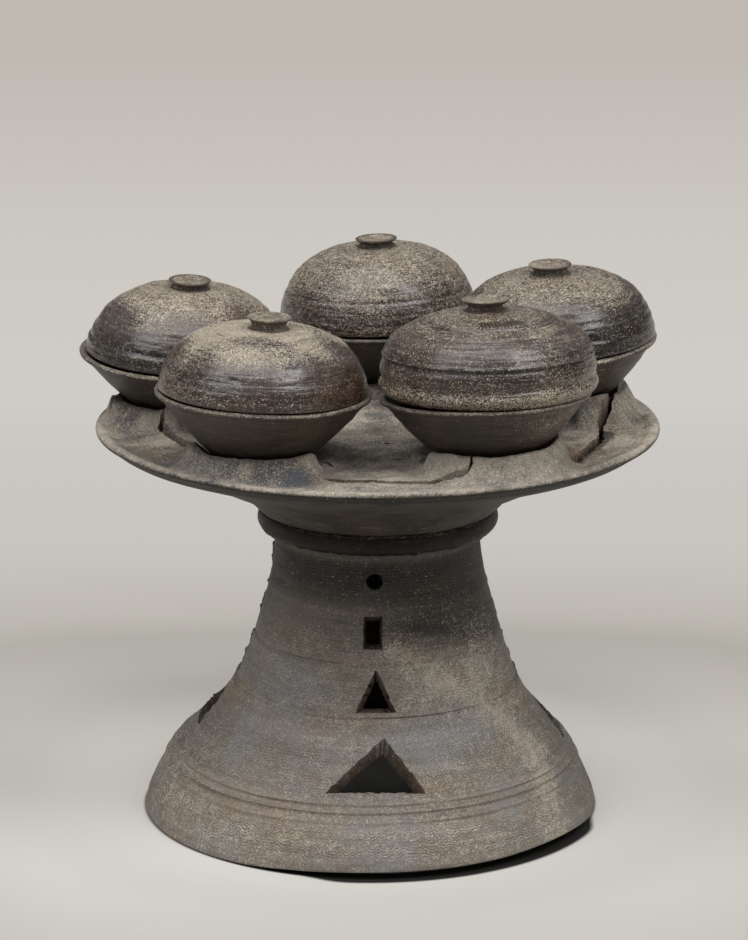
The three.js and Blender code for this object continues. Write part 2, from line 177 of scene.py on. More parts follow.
# Firing cracks in the top: (x, y) points, greatest width, and how much higher the clay on the left
# hand of the line stands
CRACKS = [
    ([(-33.8, -139), (-26, -143), (-19.8, -145.1), (-4.7, -145.1), (8, -147.5), (21.2, -149.7), (32, -148.5),
      (39.8, -146.9), (48.9, -147.4), (52, -148.4), (54.6, -147.5), (56.4, -144.9), (56.8, -141), (56.5, -136)],
     3.2, 1.2),
    ([(154.5, 32), (151, 17), (148.5, 7.7), (146.2, 0), (142.8, -5.7), (141.9, -14), (141.6, -28.1),
      (137, -43.3), (132.5, -58.4), (126.7, -73.3), (121.5, -90), (117, -104)], 4.2, -3.4),
    ([(-134.5, -18), (-137.5, -27), (-133, -31.7), (-126.8, -43.3), (-122.5, -53.4), (-117, -64),
      (-113.5, -70)], 4.6, 3.0),
]
# Soft spots on the dish: (turn, radius, degrees wide, mm wide, strength). The cool spots on the rim are a
# painted highlight, and the ash spots just in front of the middle are painted light where the bowls shade the
# plate.
DISH_MARKS = {
    "ash": [(8, 165, 30, 10, 0.2), (38, 160, 20, 14, 0.2), (4, 146, 16, 9, 0.35), (4, 128, 18, 10, 0.45),
            (-62, 162, 30, 16, -0.28), (0, 70, 90, 50, -0.15)],
    "soot_and_shade": [(-66, 168, 24, 14, 0.2)],
    "warm": [(50, 150, 40, 20, 0.3)],
    "cool_and_sheen": [(-33, 160, 14, 14, 0.3), (-20, 170, 30, 9, 0.6), (15, 170, 26, 9, 0.6), (34, 172, 16, 7, 0.5),
             (-60, 176, 18, 7, 0.4)],
}
# Pits and the vent in the top: x, y, length, width, depth
PITS = [(-30, -112, 7.2, 4.4, 9.0), (5.7, -53.4, 4.6, 3.4, 1.9), (12.4, -92.8, 5.2, 3.4, 2.2),
        (28, -97, 6.0, 4.0, 2.4), (-0.6, 13.4, 4.6, 3.0, 1.4), (-21, -58, 5.0, 3.4, 1.3),
        (-12, 34, 3.8, 3.0, 1.4), (40, 22, 4.4, 2.8, 1.3), (-58, 52, 4.0, 3.2, 1.4)]


def length(name, description, default, low=-100):
    """A property for a length given in mm"""
    return bpy.props.FloatProperty(name=name, description=description, default=default * MM, min=low * MM,
                                   unit="LENGTH")


class PotterySizes(bpy.types.PropertyGroup):
    """Lengths that a user may want to change"""

    foot_wall: length("Foot wall", "Thickness of the foot's wall", 8, 2)
    foot_lean: length("Foot lean", "How far the ground ring lies to the left of the neck", 5.2)
    warp: length("Warp", "How far the front right of the ground ring stands off the ground", 6.8)
    comb: length("Comb", "Distance between two teeth of the comb", 2.05, 0.5)
    wave: length("Wave", "Height of the combed waves", 1.1)
    collar_gap: length("Collar gap", "Room between a collar's torn edge and its bowl", 2.4, 0.5)
    wobble: length("Wobble", "How far thrown walls swing out of true", 0.7)


class KilnColours(bpy.types.PropertyGroup):
    """Colours that several kinds of fired clay share"""

    ash: bpy.props.StringProperty(name="Ash", description="Settled kiln ash, sRGB hex", default="A69B8B")
    pale: bpy.props.StringProperty(name="Pale", description="Brightest grains of ash", default="D2C8B6")
    cool_and_sheen: bpy.props.StringProperty(name="Cool", description="Bluish grey patches", default="6A6C72")


def linear(colour):
    """An sRGB hex value as the linear RGBA that Blender's sockets take"""
    parts = [int(colour[i:i + 2], 16) / 255 for i in (0, 2, 4)]
    return tuple(c / 12.92 if c <= 0.04045 else ((c + 0.055) / 1.055) ** 2.4 for c in parts) + (1.0,)


def smooth(low, high, value):
    """0 below low, 1 above high, and a soft step between"""
    t = np.clip((value - low) / (high - low), 0, 1)
    return t * t * (3 - 2 * t)


def bell(off, width):
    """1 where off is 0, and a soft fall to 0 on both sides"""
    return np.exp(-(off / width) ** 2)


def swell(points, size, seed):
    """A smooth random value from about -1 to 1 at each point; size is how far its swells reach"""
    draw = np.random.default_rng(seed)
    total = np.zeros(len(points))
    for _ in range(7):
        way = draw.normal(size=3)
        way *= FULL * draw.uniform(0.6, 1.5) / (size * np.linalg.norm(way))
        total += np.sin(points @ way + draw.uniform(0, FULL))
    return total / 3


def smooth_line(points, step):
    """Points along a smooth curve through the given ones; step gives the distance for a point"""
    given = np.array(points, float)
    run = np.concatenate([[0], np.cumsum(np.hypot(*np.diff(given, axis=0).T))])
    slope = np.gradient(given, run, axis=0)
    fine = np.arange(0, run[-1], 0.05)
    k = np.clip(np.searchsorted(run, fine, side="right") - 1, 0, len(run) - 2)
    span = (run[k + 1] - run[k])[:, None]
    t = (fine - run[k])[:, None] / span
    curve = ((2 * t ** 3 - 3 * t ** 2 + 1) * given[k] + (t ** 3 - 2 * t ** 2 + t) * span * slope[k]
             + (3 * t ** 2 - 2 * t ** 3) * given[k + 1] + (t ** 3 - t ** 2) * span * slope[k + 1])
    kept, last = [0], 0
    for i, at in enumerate(fine):
        if at - last >= step(*curve[i]):
            kept.append(i)
            last = at
    if run[-1] - last < 0.3 * step(*given[-1]) and len(kept) > 1:
        kept.pop()
    return [tuple(p) for p in curve[kept]] + [tuple(given[-1])]


def offset_line(points, wall):
    """The same line, moved to its left by a wall's thickness"""
    line = np.array(points, float)
    along = np.gradient(line, axis=0)
    along /= np.linalg.norm(along, axis=1)[:, None]
    return [tuple(p) for p in line + wall * np.stack([-along[:, 1], along[:, 0]], 1)]


def read(items, key):
    """One vector for each of a mesh's items, such as its vertices"""
    flat = np.empty(len(items) * 3)
    items.foreach_get(key, flat)
    return flat.reshape(-1, 3)


def corners(piece):
    """The piece's vertices in mm"""
    return read(piece.data.vertices, "co") / MM


def normals(piece):
    return read(piece.data.vertex_normals, "vector")


def reshape(piece, points):
    piece.data.vertices.foreach_set("co", (np.asarray(points) * MM).ravel())
    piece.data.update()


def copied(first, name):
    """A copy of a piece with a mesh of its own"""
    piece = first.copy()
    piece.data = first.data.copy()
    piece.name = piece.data.name = name
    bpy.context.scene.collection.objects.link(piece)
    return piece


def only(piece):
    """Select one piece alone"""
    bpy.ops.object.select_all(action="DESELECT")
    piece.select_set(True)
    bpy.context.view_layer.objects.active = piece


def tidy_shell():
    """Merge doubles and turn faces outwards, in edit mode"""
    bpy.ops.mesh.select_all(action="SELECT")
    bpy.ops.mesh.remove_doubles(threshold=1e-6)
    bpy.ops.mesh.normals_make_consistent(inside=False)
    bpy.ops.object.mode_set(mode="OBJECT")


def turned(name, outline):
    """Turn an outline of (radius, height) round the Z axis, as a wheel does"""
    bpy.ops.object.select_all(action="DESELECT")
    bpy.ops.mesh.primitive_circle_add(vertices=len(outline), radius=0.1, fill_type="NOTHING")
    piece = bpy.context.object
    piece.name = piece.data.name = name
    reshape(piece, [(r, 0, z) for r, z in outline])
    if outline[0][0] == 0:
        # the line is open: its two ends lie on the axis
        ends = {0, len(outline) - 1}
        for edge in piece.data.edges:
            edge.select = set(edge.vertices) == ends
        for vertex in piece.data.vertices:
            vertex.select = vertex.index in ends
        bpy.ops.object.mode_set(mode="EDIT")
        bpy.ops.mesh.delete(type="EDGE_FACE")
        bpy.ops.object.mode_set(mode="OBJECT")
    wheel = piece.modifiers.new("wheel", "SCREW")
    wheel.steps = wheel.render_steps = ROUND[name.split("_")[0]]
    wheel.use_merge_vertices = True
    wheel.merge_threshold = 1e-6
    bpy.ops.object.modifier_apply(modifier=wheel.name)
    bpy.ops.object.mode_set(mode="EDIT")
    tidy_shell()
    return piece


def slab(name, outline, low, high, taper=0):
    """A prism on a closed outline of (x, y); taper is the share by which it narrows for each mm of height"""
    bpy.ops.object.select_all(action="DESELECT")
    bpy.ops.mesh.primitive_circle_add(vertices=len(outline), radius=0.1, fill_type="NGON")
    piece = bpy.context.object
    piece.name = piece.data.name = name
    reshape(piece, [(x, y, low) for x, y in outline])
    bpy.ops.object.mode_set(mode="EDIT")
    bpy.ops.mesh.select_all(action="SELECT")
    bpy.ops.mesh.extrude_region_move(TRANSFORM_OT_translate={"value": (0, 0, (high - low) * MM)})
    tidy_shell()
    if taper:
        points = corners(piece)
        middle = np.mean(outline, axis=0)
        points[:, :2] = middle + (points[:, :2] - middle) * (1 - taper * points[:, 2:])
        reshape(piece, points)
    return piece


def cut(piece, *tools):
    """Cut a piece with tools that don't touch each other, and put them away"""
    only(tools[0])
    for tool in tools:
        tool.select_set(True)
    if len(tools) > 1:
        bpy.ops.object.join()
    only(piece)
    modifier = piece.modifiers.new("cut", "BOOLEAN")
    modifier.solver = "MANIFOLD"
    modifier.object = tools[0]
    bpy.ops.object.modifier_apply(modifier=modifier.name)
    bpy.data.objects.remove(tools[0])


def knife_line(points, closed, step, shake, seed):
    """Points every few mm along a line of (x, y), each a little off it, as a hand cuts"""
    draw = np.random.default_rng(seed)
    given = np.array(points + points[:1] if closed else points, float)
    line = []
    for a, b in zip(given[:-1], given[1:]):
        count = max(1, round(np.linalg.norm(b - a) / step))
        line += [a + (b - a) * i / count for i in range(count)]
    if not closed:
        line.append(given[-1])
    line = np.array(line)
    return line + draw.uniform(-shake, shake, line.shape)


def around(points):
    """Cosine and sine round the Z axis, and the radius"""
    radius = np.hypot(points[:, 0], points[:, 1])
    return points[:, 0] / np.maximum(radius, 1e-6), points[:, 1] / np.maximum(radius, 1e-6), radius


def swing(points, c, s, push):
    """Move points out from the Z axis"""
    points[:, 0] += c * push
    points[:, 1] += s * push


def turn_of(points):
    """Degrees from the front towards the right"""
    return np.degrees(np.arctan2(points[:, 0], -points[:, 1]))


def along_of(points, outline):
    """How far along its outline each point of a turned piece lies, in mm"""
    line = np.array(outline, float)
    run = np.concatenate([[0], np.cumsum(np.hypot(*np.diff(line, axis=0).T))])
    radius = np.hypot(points[:, 0], points[:, 1])
    found = np.empty(len(points))
    for i in range(0, len(points), 4000):
        near = ((radius[i:i + 4000, None] - line[:, 0]) ** 2
                + (points[i:i + 4000, 2][:, None] - line[:, 1]) ** 2)
        found[i:i + 4000] = run[near.argmin(1)]
    return found


def paint(piece, wrap, ash, soot_and_shade=0, warm=0, cool_and_sheen=0, mark=0):
    """Store what the kiln did to each point, together with painted light and shade, and its place along and
    round the wheel's turning
    """
    count = len(piece.data.vertices)
    kiln_marks_and_painted_light = np.zeros((count, 4))
    for channel, value in enumerate((ash, soot_and_shade, warm, cool_and_sheen)):
        kiln_marks_and_painted_light[:, channel] = np.clip(value, 0, 1)
    layer = piece.data.color_attributes.new("kiln_marks_and_painted_light", "FLOAT_COLOR", "POINT")
    layer.data.foreach_set("color", kiln_marks_and_painted_light.ravel())
    layer = piece.data.attributes.new("mark", "FLOAT", "POINT")
    layer.data.foreach_set("value", np.broadcast_to(mark, count).astype(float))
    layer = piece.data.attributes.new("wrap", "FLOAT_VECTOR", "POINT")
    layer.data.foreach_set("vector", (wrap * MM).ravel())


def wrap_of(points, along, scale):
    """Points laid round a cylinder with the given radius, each as high as it lies along the outline"""
    c, s, _ = around(points)
    return np.stack([c * scale, s * scale, along], 1)


def blot(turn, up, marks):
    """Sum of soft spots on a turned piece: (turn, height, degrees wide, mm high, strength)"""
    total = np.zeros(len(turn))
    for at, level, spread, tall, strength in marks:
        off = (turn - at + 180) % 360 - 180
        total += strength * np.exp(-(off / spread) ** 2 - ((up - level) / tall) ** 2)
    return total


def dress(piece, material, body, slot, *nodes):
    """Shade, colour and mount a finished piece, and let it stand for its CAD nodes"""
    only(piece)
    bpy.ops.object.shade_smooth_by_angle(angle=math.radians(38))
    piece.data.materials.clear()
    piece.data.materials.append(material)
    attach(piece, body)
    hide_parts(*nodes)


def add(tree, kind, fills=(), out=0, stops=None, **settings):
    """Add a node with its settings, fill or link its inputs, and return one of its outputs"""
    node = tree.nodes.new(kind)
    for key, value in settings.items():
        setattr(node, key, value)
    pairs = fills.items() if isinstance(fills, dict) else enumerate(fills)
    for key, value in pairs:
        if isinstance(value, bpy.types.NodeSocket):
            tree.links.new(value, node.inputs[key])
        elif value is not None:
            node.inputs[key].default_value = value
    if stops:
        ramp = node.color_ramp
        while len(ramp.elements) < len(stops):
            ramp.elements.new(0.5)
        for element, (at, colour) in zip(ramp.elements, stops):
            element.position = at
            element.color = colour
    return node.outputs[out] if node.outputs else node


def calc(tree, operation, *values, clamp=False):
    return add(tree, "ShaderNodeMath", values, operation=operation, use_clamp=clamp)


def product(tree, first, *others):
    for other in others:
        first = calc(tree, "MULTIPLY", first, other)
    return first


def remap(tree, *values, soft=False):
    """A value taken from one range to another: value, from low, from high, to low, to high"""
    return add(tree, "ShaderNodeMapRange", values, interpolation_type="SMOOTHSTEP" if soft else "LINEAR")


def noise(tree, place, scale, detail, roughness):
    return add(tree, "ShaderNodeTexNoise",
               {"Vector": place, "Scale": scale, "Detail": detail, "Roughness": roughness})


def blend(tree, share, first, second):
    """The first colour where share is 0, and the second where it is 1"""
    return add(tree, "ShaderNodeMix", {0: share, 6: first, 7: second}, out=2, data_type="RGBA")


def scaled(tree, colour, share):
    return add(tree, "ShaderNodeVectorMath", {0: colour, "Scale": share}, operation="SCALE")


def bare_tree(owner):
    """The empty node tree of a material or a world"""
    owner.use_nodes = True
    owner.node_tree.nodes.clear()
    return owner.node_tree


def drawn(tree, wrap, share, *pattern):
    """Noise stretched round the piece, as fingers on the wheel leave it"""
    place = add(tree, "ShaderNodeVectorMath", [wrap, (share, share, 1.0)], operation="MULTIPLY")
    return noise(tree, place, *pattern)


def stoneware(name, deep, body, cool_and_sheen, warm, ash, pale, rough=0.6, dusty=0.85, streak=0.5, lines=0.5, dots=0.1,
              grain=0.85, cool_share=0.3, warm_share=0.15, sheen=0.5, comb=None):
    """Fired clay with kiln ash. streak: strength of the fine lines that wet fingers drew; lines: of the
    broad ones; dots: share of single pale grains; grain: how unevenly ash covers; comb: as in comb_teeth"""
    material = bpy.data.materials.new(name)
    tree = bare_tree(material)
    place = add(tree, "ShaderNodeTexCoord", out=3)
    kiln_marks_and_painted_light = add(tree, "ShaderNodeAttribute", attribute_name="kiln_marks_and_painted_light")
    ash_mask = add(tree, "ShaderNodeSeparateColor", [kiln_marks_and_painted_light])
    soot_and_shade_mask, warm_mask, cool_and_sheen_mask = *ash_mask.node.outputs[1:3], kiln_marks_and_painted_light.node.outputs[3]
    wrap = add(tree, "ShaderNodeAttribute", out=1, attribute_name="wrap")

    # Patches of 40 mm, mottling of 8 mm, grit, and the fine and broad lines of the wheel
    patches = noise(tree, place, 26, 3, 0.55)
    other = noise(tree, place, 41, 4, 0.6)
    mottle = noise(tree, place, 130, 5, 0.65)
    grit = add(tree, "ShaderNodeTexVoronoi", {"Vector": place, "Scale": 1 / (GRIT * MM)}, out=1)
    grit = add(tree, "ShaderNodeSeparateColor", [grit])
    fine = drawn(tree, wrap, 0.09, 520, 3, 0.6)
    broad = drawn(tree, wrap, 0.05, 170, 2, 0.5)

    tone = calc(tree, "MULTIPLY_ADD", fine, streak, mottle)
    tone = remap(tree, tone, 0.34 + 0.38 * streak, 0.66 + 0.62 * streak, 0.0, 1.0)
    base = blend(tree, tone, linear(deep), linear(body))
    # Cool patches, which also carry a painted sheen, and warm patches
    for patch, low, share, mask, colour in ((patches, 0.46, cool_share, cool_and_sheen_mask, cool_and_sheen),
                                            (other, 0.48, warm_share, warm_mask, warm)):
        patch = remap(tree, patch, low, low + 0.2, 0.0, share)
        base = blend(tree, calc(tree, "ADD", patch, mask, clamp=True), base, linear(colour))
    # Darken where the soot channel says, for smoke and for painted shade alike
    shade = product(tree, remap(tree, broad, 0.3, 0.7, 1 - 0.3 * lines, 1 + 0.3 * lines),
                    remap(tree, soot_and_shade_mask, 0.0, 1.0, 1.0, 0.2), remap(tree, grit, 0.0, 1.0, 0.78, 1.22))
    base = scaled(tree, base, shade)

    # Ash settles grain by grain: the more fell, the fewer bare grains show between. The same channel also
    # carries painted highlights.
    cover = ash_mask
    for pattern, share in ((mottle, 0.4), (fine, 0.6), (grit, grain)):
        cover = calc(tree, "MULTIPLY_ADD", pattern, share, cover)
    middle = 0.5 + (0.4 + 0.6 + grain) / 2
    cover = remap(tree, cover, middle - 0.3, middle + 0.3, 0.0, 1.0, soft=True)
    paler = remap(tree, grit.node.outputs[1], 0.45, 1.0, 0.0, 1.0)
    ash_tone = blend(tree, paler, linear(ash), linear(pale))
    ash_tone = scaled(tree, ash_tone, remap(tree, mottle, 0.3, 0.7, 0.74, 1.14))
    colour = blend(tree, cover, base, ash_tone)

    # Single pale grains, and pinholes painted dark as the shade inside them
    cells = add(tree, "ShaderNodeTexVoronoi", {"Vector": place, "Scale": 1 / (PALE_GRAIN * MM)})
    lot = add(tree, "ShaderNodeSeparateColor", [cells.node.outputs[1]])
    chance = remap(tree, ash_mask, 0.0, 1.0, 0.3 * dots, 1.6 * dots)
    dot = product(tree, remap(tree, cells, 0.36, 0.14, 0.0, 1.0, soft=True),
                  calc(tree, "LESS_THAN", lot, chance), lot.node.outputs[2])
    colour = blend(tree, dot, colour, linear(pale))
    hole = product(tree, remap(tree, cells, 0.38, 0.15, 0.0, 0.7, soft=True),
                   calc(tree, "GREATER_THAN", lot.node.outputs[1], 0.95))
    colour = blend(tree, hole, colour, linear(PINHOLE))

    # Relief in mm: turning lines, mottling, ash that stands up, pinholes, and the comb
    height = calc(tree, "MULTIPLY", broad, 1.3 * lines)
    for pattern, tall in ((fine, 0.34 * streak), (mottle, 0.25), (cover, 0.03), (hole, -0.25)):
        height = calc(tree, "MULTIPLY_ADD", pattern, tall, height)
    if comb:
        tooth = comb_teeth(tree, wrap, patches, mottle, other, *comb)
        height = calc(tree, "MULTIPLY_ADD", tooth, 0.13, height)
        # the comb's ridges are also drawn paler and its grooves darker: painted light and shade
        colour = scaled(tree, colour, calc(tree, "MULTIPLY_ADD", tooth, 0.22, 1.0))
    bump = add(tree, "ShaderNodeBump", {"Height": height, "Strength": 1.0, "Distance": MM})

    gloss = remap(tree, fine, 0.3, 0.7, rough - 0.08, rough + 0.08)
    gloss = add(tree, "ShaderNodeMix", {0: cover, 2: gloss, 3: dusty}, out=0, data_type="FLOAT")
    shader = add(tree, "ShaderNodeBsdfPrincipled", {
        "Base Color": colour, "Roughness": gloss, "Normal": bump, "IOR": 1.5, "Specular IOR Level": sheen})
    add(tree, "ShaderNodeOutputMaterial", [shader])
    return material


def comb_teeth(tree, wrap, patches, mottle, other, teeth, spacing, waves, tall, least):
    """The strokes of a comb, as strong as the mark painted there: teeth round the piece, distance between
    teeth along it, waves round it, wave height, and what is left of it where it is worn"""
    parts = add(tree, "ShaderNodeSeparateXYZ", [wrap])
    turn = calc(tree, "ARCTAN2", parts.node.outputs[1], parts)
    wander = calc(tree, "MULTIPLY_ADD", patches, 16.0, calc(tree, "MULTIPLY", mottle, 5.0))
    wave = calc(tree, "SINE", calc(tree, "MULTIPLY_ADD", turn, waves, wander))
    along = calc(tree, "MULTIPLY", parts.node.outputs[2], 1 / MM)
    along = calc(tree, "MULTIPLY", calc(tree, "MULTIPLY_ADD", wave, tall, along), FULL / spacing)
    tooth = calc(tree, "SINE", calc(tree, "MULTIPLY_ADD", turn, teeth, along))
    mark = add(tree, "ShaderNodeAttribute", out=2, attribute_name="mark")
    return product(tree, mark, remap(tree, other, 0.36, 0.56, least, 1.0), tooth)


def rim_radius(bowl):
    return BOWL_RADIUS + bowl["wide"]


def lid_radius(bowl):
    return rim_radius(bowl) - LID_INSET + bowl["lid"]["wide"]


def tilt(back, right):
    return Matrix.Rotation(math.radians(back), 4, "X") @ Matrix.Rotation(math.radians(right), 4, "Y")


def bowl_place(bowl):
    """Where a bowl's rim is and how it leans, in mm"""
    out, turn = RING_RADIUS + bowl["out"], math.radians(bowl["turn"])
    middle = AXIS + (out * math.sin(turn), -out * math.cos(turn), PLATE_TOP + RIM_HEIGHT + bowl["high"])
    return Matrix.Translation(middle) @ tilt(bowl["back"], bowl["right"])


def lid_place(bowl):
    """A lid rocks on its bowl's rim, so it is lifted until its edge just clears the rim"""
    lid = bowl["lid"]
    rock = math.hypot(math.radians(lid["right"]), math.radians(lid["back"]))
    rise = SEAT + lid_radius(bowl) * math.sin(rock)
    return bowl_place(bowl) @ Matrix.Translation((lid["x"], lid["y"], rise)) @ tilt(lid["back"], lid["right"])


def put(piece, place):
    """Move a piece's mesh to its place, given in mm"""
    turn = np.array(place.to_3x3())
    reshape(piece, corners(piece) @ turn.T + np.array(place.translation))


def bowl_depth(bowl):
    lean = math.hypot(math.radians(bowl["right"]), math.radians(bowl["back"]))
    return RIM_HEIGHT + bowl["high"] - SEAT - BOWL_BASE * math.sin(lean) - 0.1


def bowl_side(bowl, spread, count):
    """The bowl's outside below its rim, as (radius, height under the rim)"""
    depth, top = bowl_depth(bowl), rim_radius(bowl) - 1.6
    share = np.linspace(0.1, 1, count)
    full = np.maximum(0, 1 - share ** 1.2) ** 0.95
    return [(BOWL_BASE + spread + (top - BOWL_BASE) * f, -h * depth) for f, h in zip(full, share)]


def mounds(x, y):
    """Height of the clay that is drawn up round the bowls and heaved up by the cracks, over the plate"""
    total = np.zeros(len(x))
    flat = np.stack([x, y, np.zeros(len(x))], 1)
    for number, bowl in enumerate(BOWLS.values()):
        radius, left, right, _, _ = bowl["collar"]
        low, high = bowl["apron"]
        middle = bowl_place(bowl) @ Vector((0, 0, -RIM_HEIGHT + 13))
        dx, dy = x - middle.x, y - middle.y
        away = np.hypot(dx, dy)
        side = np.clip(dx / radius, -1, 1)
        off = np.abs((np.degrees(np.arctan2(dx, -dy)) - (low + high) / 2 + 180) % 360 - 180)
        half = (high - low) / 2
        apron = 0.3 + 0.7 * smooth(half + 3, half - 3, off + 2 * swell(flat, 30, 45 + number))
        top = (left + right) / 2 + side * (right - left) / 2
        top = top * apron + 0.9 * swell(flat, 19, 40 + number) + 0.35 * swell(flat, 5, 50 + number)
        # the clay rises steeply from the plate, and more gently from the rim of the dish
        outward = (dx * (middle.x - AXIS[0]) + dy * (middle.y - AXIS[1])) / (np.maximum(away, 1) * RING_RADIUS)
        skirt = (13.5 + 4.5 * outward) * (0.45 + 0.55 * apron) + 1.2 * swell(flat, 60, 60 + number)
        fall = np.clip(1 - (away - radius) / skirt, 0, 1)
        total = np.maximum(total, top * fall ** 2.1)
    for line, _, heave in CRACKS:
        near, hand = crack_distance(x, y, line)
        total += (hand > 0) * heave * np.exp(-near / 16) * smooth(178, 170, np.hypot(x - AXIS[0], y - AXIS[1]))
    # a torn tab of clay stands up at the far left
    return total + 7 * np.exp(-((x - AXIS[0] + 171.5) / 4) ** 2 - ((y - AXIS[1] - 14) / 6) ** 2)


def crack_distance(x, y, line):
    """Distance to a crack in mm, and 1 on its left hand or -1 on its right"""
    near, hand = np.full(len(x), 1e3), np.zeros(len(x))
    for a, b in zip(line[:-1], line[1:]):
        a, b = np.array(a) + AXIS[:2], np.array(b) + AXIS[:2]
        dx, dy, way = x - a[0], y - a[1], b - a
        t = np.clip((dx * way[0] + dy * way[1]) / (way @ way), 0, 1)
        away = np.hypot(dx - t * way[0], dy - t * way[1])
        hand = np.where(away < near, np.sign(way[0] * dy - way[1] * dx), hand)
        near = np.minimum(near, away)
    return near, hand


def line_distance(flat, line):
    """Distance of points from a closed line of (x, y)"""
    near = np.full(len(flat), 1e3)
    for a, b in zip(line, np.roll(line, -1, axis=0)):
        way = b - a
        t = np.clip((flat - a) @ way / max(way @ way, 1e-9), 0, 1)
        near = np.minimum(near, np.hypot(*(flat - a - t[:, None] * way).T))
    return near


def foot_radius(z):
    """The foot's outer radius at a height"""
    radii, heights = zip(*FOOT_SIDE)
    return np.interp(z, heights, radii)


def foot_slope(z):
    """What that radius gains for each mm of height"""
    radii, heights = zip(*FOOT_SIDE)
    return np.interp(z, heights, np.gradient(radii, heights))


class POTTERY_OT_foot(bpy.types.Operator):
    """Throw the flared foot, comb it and pierce it"""

    bl_idname = "pottery.foot"
    bl_label = "Foot"

    def execute(self, context):
        sizes, kiln = context.scene.pottery_sizes, context.scene.pottery_colours
        outer = smooth_line(FOOT_SIDE, self.fineness)
        inner = offset_line(smooth_line(FOOT_SIDE, lambda r, z: 5), sizes.foot_wall / MM)[::-1]
        inner[0] = (inner[0][0], FOOT_TOP)
        inner[-1] = (inner[-1][0] + 1.5, 0.8)
        outline = [(inner[-1][0] + 2.4, 0), (144.6, 0), (146.6, 0.6)] + outer[2:] + inner
        piece = turned("foot", outline)
        self.push(piece, outline, sizes)
        points, lips = self.tear(piece, self.pierce(piece))
        self.fire_and_shade(piece, points, outline, lips)
        dress(piece, foot_clay(sizes), "stand", "foot_clay", "foot")
        piece.data.materials.append(cut_clay(kiln))
        self.mark_cuts(piece)
        return {"FINISHED"}

    def fineness(self, r, z):
        """Distance between two points of the outline: short where lines are turned"""
        return 0.75 if 28 < z < 46 or 82.5 < z < 90 or 113 < z < 120 or z < 4 else 1.9

    def push(self, piece, outline, sizes):
        """Push the wall out of true and raise the potter's lines on it"""
        points = corners(piece)
        outside = along_of(points, outline) < along_of(np.array([[65.0, 0, FOOT_TOP]]), outline)[0] + 1
        c, s, _ = around(points)
        ring = wrap_of(points, points[:, 2], 60)
        level = points[:, 2] + 0.8 * swell(ring * (1, 1, 0), 110, 3)
        push = 0.5 * swell(ring, 90, 4) + 0.12 * swell(ring * (0.25, 0.25, 1), 7, 5)
        for at, width, out in FOOT_LINES:
            push += outside * out * bell(level - at, width) * (1 + 0.25 * swell(ring, 40, int(at)))
        push += ~outside * (0.5 * swell(ring * (0.2, 0.2, 1), 12, 6) + 0.5 * swell(ring, 30, 7))
        swing(points, c, s, push * smooth(0, 6, points[:, 2]) * smooth(187, 176, points[:, 2]))
        self.bend(points, sizes.foot_lean / MM, sizes.warp / MM)
        reshape(piece, points + AXIS)

    def bend(self, points, lean, warp):
        """The foot leans a little, and the front right of its ground ring has lifted and swelled in the kiln"""
        turns, lifts, swells = zip(*GROUND_RING)
        turn = turn_of(points)
        low = np.maximum(0, 1 - points[:, 2] / 40)
        c, s, _ = around(points)
        out = smooth(60, 0, points[:, 2]) * np.interp(turn, turns, swells)
        points[:, 0] += c * out - lean * (1 - smooth(0, 0.65, points[:, 2] / FOOT_TOP))
        points[:, 1] += s * out
        points[:, 2] += warp * np.interp(turn, turns, lifts) * low

    def pierce(self, piece):
        """Cut the four columns of openings, and return the way back to each cut and its line"""
        knives, cuts = [], []
        for column, (turn, width, low, high, skew) in enumerate(COLUMNS):
            largest = (low, high, 0.034, [(-width / 2, -1), (width / 2, -1), (skew, 1)])
            for number, (bottom, top, taper, opening) in enumerate(OPENINGS + [largest]):
                # the knife stands square to the wall, and the hole narrows inwards
                r0, r1 = float(foot_radius(bottom)), float(foot_radius(top))
                slope, tall = math.atan2(r0 - r1, top - bottom), math.hypot(r0 - r1, top - bottom) / 2
                stray, stroke, shake = KNIFE_WORK[number]
                line = [(x + stray * STRAYS[column], y * tall if number else y) for x, y in opening]
                line = knife_line(line, True, stroke, shake, 10 * column + number)
                knife = slab("knife", line, -26, 20, -taper)
                place = Matrix.Rotation(math.radians(turn), 4, "Z") @ Matrix.Translation(
                    (0, -(r0 + r1) / 2, (bottom + top) / 2)) @ Matrix.Rotation(FULL / 4 - slope, 4, "X")
                put(knife, Matrix.Translation(AXIS) @ place)
                knives.append(knife)
                cuts.append((place.inverted(), line))
        cut(piece, *knives)
        return cuts

    def tear(self, piece, cuts):
        """Drag the clay up into a torn lip round each opening"""
        points = corners(piece) - AXIS
        c, s, radius = around(points)
        lips = np.zeros(len(points))
        for back, line in cuts:
            local = points @ np.array(back.to_3x3()).T + np.array(back.translation)
            near = (np.abs(local[:, 2]) < 9) & (np.hypot(local[:, 0], local[:, 1]) < 48)
            lips[near] = np.maximum(lips[near], bell(line_distance(local[near, :2], line), LIP_WIDTH))
        slope = foot_slope(points[:, 2])
        skin = smooth(4.5, 2.0, np.abs(radius - foot_radius(points[:, 2])))
        lips *= skin * np.clip(1.1 * swell(points, 11, 31) + 0.6 * swell(points, 3.5, 32), 0, 2)
        points += np.stack([c, s, -slope], 1) * (lips / np.hypot(1, slope))[:, None]
        reshape(piece, points + AXIS)
        return points, lips

